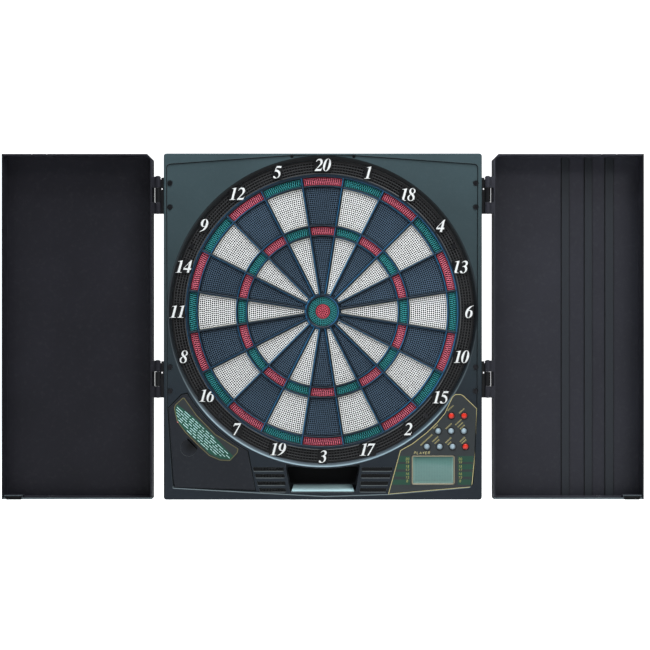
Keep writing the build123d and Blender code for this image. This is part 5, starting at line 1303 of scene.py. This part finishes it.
# ---------------------------------------------------------------- painted shade in the joint round the lid
def lid_edge(gap):
    """The lid's outline, moved outwards by the gap."""
    start, end = 238.6 + 0.25 * gap, 208.3 - 0.25 * gap     # degrees of the arc
    return [(-226.0 - gap, -142.0), (-205.5 - 0.7 * gap, -121.5 + 0.7 * gap),
            *[polar(232.0 - gap, (start + (end - start) * k / 24) / 360) for k in range(25)],
            (-98.5 + gap, -261.3 - gap), (-217.5 - gap, -257.6 - gap)]


moulded("lid_joint", (0.0045, 0.006, 0.007), rough=0.6, spec=0.1, grain=700, blotch=0.2)
# the painted shade is wider at the lid's upper left corner
joint_shade_outer = lid_edge(1.9)[:3] + lid_edge(1.15)[3:]
piece("lid_joint", *flat_ring(joint_shade_outer, lid_edge(0.06), 44.47, 44.56), ["lid_joint"],
      "housing", "housing_plastic")

# ---------------------------------------------------------------- lip on the well's mouth
# painted light and shade on the lip: dark at the top, bright at the bottom, brightest in a band
# near its outer edge
LIP_PAINTED_LIGHT_BY_HEIGHT = [(0.0, grey(2.8)), (0.25, grey(2.4)), (0.31, (0.95, 0.92, 0.9)),
                 (0.42, (0.42, 0.4, 0.4)), (0.85, grey(0.12)), (1.0, grey(0.05))]
LIP_PAINTED_LIGHT_BY_RADIUS = [(0.0, (0.13, 0.14, 0.16)), (0.48, (0.30, 0.32, 0.34)),
                 (0.68, (0.95, 0.95, 0.93)), (0.85, (2.3, 2.2, 2.1)), (1.0, grey(0.9))]
LIP_PROFILE = [(222.05, 41.2), (222.25, 41.3), (224.5, 42.9), (226.7, 44.42), (227.1, 44.56),
               (227.7, 44.56), (227.7, 44.3), (222.05, 40.6)]
moulded("well_lip", (0.060, 0.083, 0.097), by_height=LIP_PAINTED_LIGHT_BY_HEIGHT,
        painted_light_by_radius=(222.0, 227.3, LIP_PAINTED_LIGHT_BY_RADIUS), rough=0.4, spec=0.2, grain=700,
        grain_depth=0.00003, blotch=0.15)
piece("well_lip", *lathe(LIP_PROFILE, 360), ["well_lip"], "housing", "housing_plastic",
      smooth=40)

# ---------------------------------------------------------------- storage bay
# painted shade: a thin dark plate on its back
moulded("bay_lining", (0.0065, 0.0065, 0.0068), rough=0.85, spec=0.1, grain=500, blotch=0.2)
bay_back_outline = rounded([(-53.2, -229.4), (53.2, -229.4), (47.6, -253.5), (-47.6, -253.5)], 3.0)
piece("bay_lining", *prism(bay_back_outline, 14.05, 14.6, bevel=0.2), ["bay_lining"], "housing", "foam")

# thin pale blue sheet on the sloping ledge at its foot, a painted reflection of the light above;
# from the front to the back: h, half width
moulded("bay_ledge", (0.52, 0.74, 0.77), rough=0.35, grain=700, blotch=0.12)
ledge = []
for h, half in ((40.6, 46.2), (16.0, 43.6)):
    floor = -263.45 + (40.6 - h) * 8.9 / 30.5
    ledge.append([(-half, floor + 0.1, h), (half, floor + 0.1, h),
                  (half - 0.6, floor + 0.75, h - 0.2), (-half + 0.6, floor + 0.75, h - 0.2)])
piece("bay_ledge", *loft(ledge), ["bay_ledge"], "housing", "housing_plastic")


# ---------------------------------------------------------------- studio (metres)
def backdrop():
    """Paper sweep: a floor that curves up into a wall behind the board."""
    half_width, floor, bend, bend_start = 8, -0.33, 0.7, 4.4
    profile = [(-8.0, floor)]
    for k in range(17):
        angle = math.pi / 2 * k / 16
        profile.append((bend_start + bend * math.sin(angle), floor + bend * (1 - math.cos(angle))))
    profile.append((5.1, 6.0))
    verts = [(x, y, z) for y, z in profile for x in (-half_width, half_width)]
    faces = [(2 * k, 2 * k + 1, 2 * k + 3, 2 * k + 2) for k in range(len(profile) - 1)]
    mesh = bpy.data.meshes.new("backdrop")
    mesh.from_pydata(verts, [], faces)
    mesh.shade_smooth()
    shader = Shader("backdrop_paper")
    colour = shader.ramp(shader.noise(3.0), [(0.3, grey(0.80)), (0.7, grey(0.83))])
    # the paper looks evenly lit from the camera without throwing extra light on the board
    seen = shader.node("ShaderNodeLightPath").outputs["Is Camera Ray"]
    mesh.materials.append(shader.finish(
        Base_Color=colour, Roughness=0.9, Emission_Color=(1.0, 1.0, 1.0),
        Emission_Strength=shader.math("MULTIPLY", seen, 1.0)))
    add_object("backdrop", mesh)


def area_light(name, location, size, watts, colour):
    """Area light aimed at the origin."""
    light = bpy.data.lights.new(name, "AREA")
    light.shape = "RECTANGLE"
    light.size, light.size_y = size
    light.energy, light.color = watts, colour
    obj = add_object(name, light)
    obj.location = location
    obj.rotation_euler = (-Vector(location)).to_track_quat("-Z", "Y").to_euler()


def studio_world():
    """Dim sky light on the board; the camera itself sees plain white."""
    world = bpy.data.worlds.new("studio")
    world.use_nodes = True
    tree = world.node_tree
    sky = tree.nodes["Background"]
    seen = tree.nodes.new("ShaderNodeBackground")
    for background, colour, strength in ((sky, (0.93, 0.96, 1.0, 1), 0.19),
                                         (seen, (1, 1, 1, 1), 1.0)):
        background.inputs["Color"].default_value = colour
        background.inputs["Strength"].default_value = strength
    path = tree.nodes.new("ShaderNodeLightPath")
    mix = tree.nodes.new("ShaderNodeMixShader")
    tree.links.new(path.outputs["Is Camera Ray"], mix.inputs[0])
    tree.links.new(sky.outputs[0], mix.inputs[1])
    tree.links.new(seen.outputs[0], mix.inputs[2])
    tree.links.new(mix.outputs[0], tree.nodes["World Output"].inputs["Surface"])
    bpy.context.scene.world = world


def camera():
    data = bpy.data.cameras.new("camera")
    data.lens, data.sensor_width = 91.0, 36.0
    obj = add_object("camera", data)
    obj.location = (0.0032, -2.446, -0.0197)
    obj.rotation_euler = (math.radians(90), 0, 0)
    bpy.context.scene.camera = obj


backdrop()
area_light("key", location=(0.12, -0.72, 1.95), size=(2.2, 0.7), watts=54,
           colour=(0.9, 0.96, 1.0))
area_light("front", location=(1.5, -1.9, 1.9), size=(1.3, 1.0), watts=36, colour=(1, 1, 1))
studio_world()
bpy.context.scene.view_settings.view_transform = "Standard"
camera()
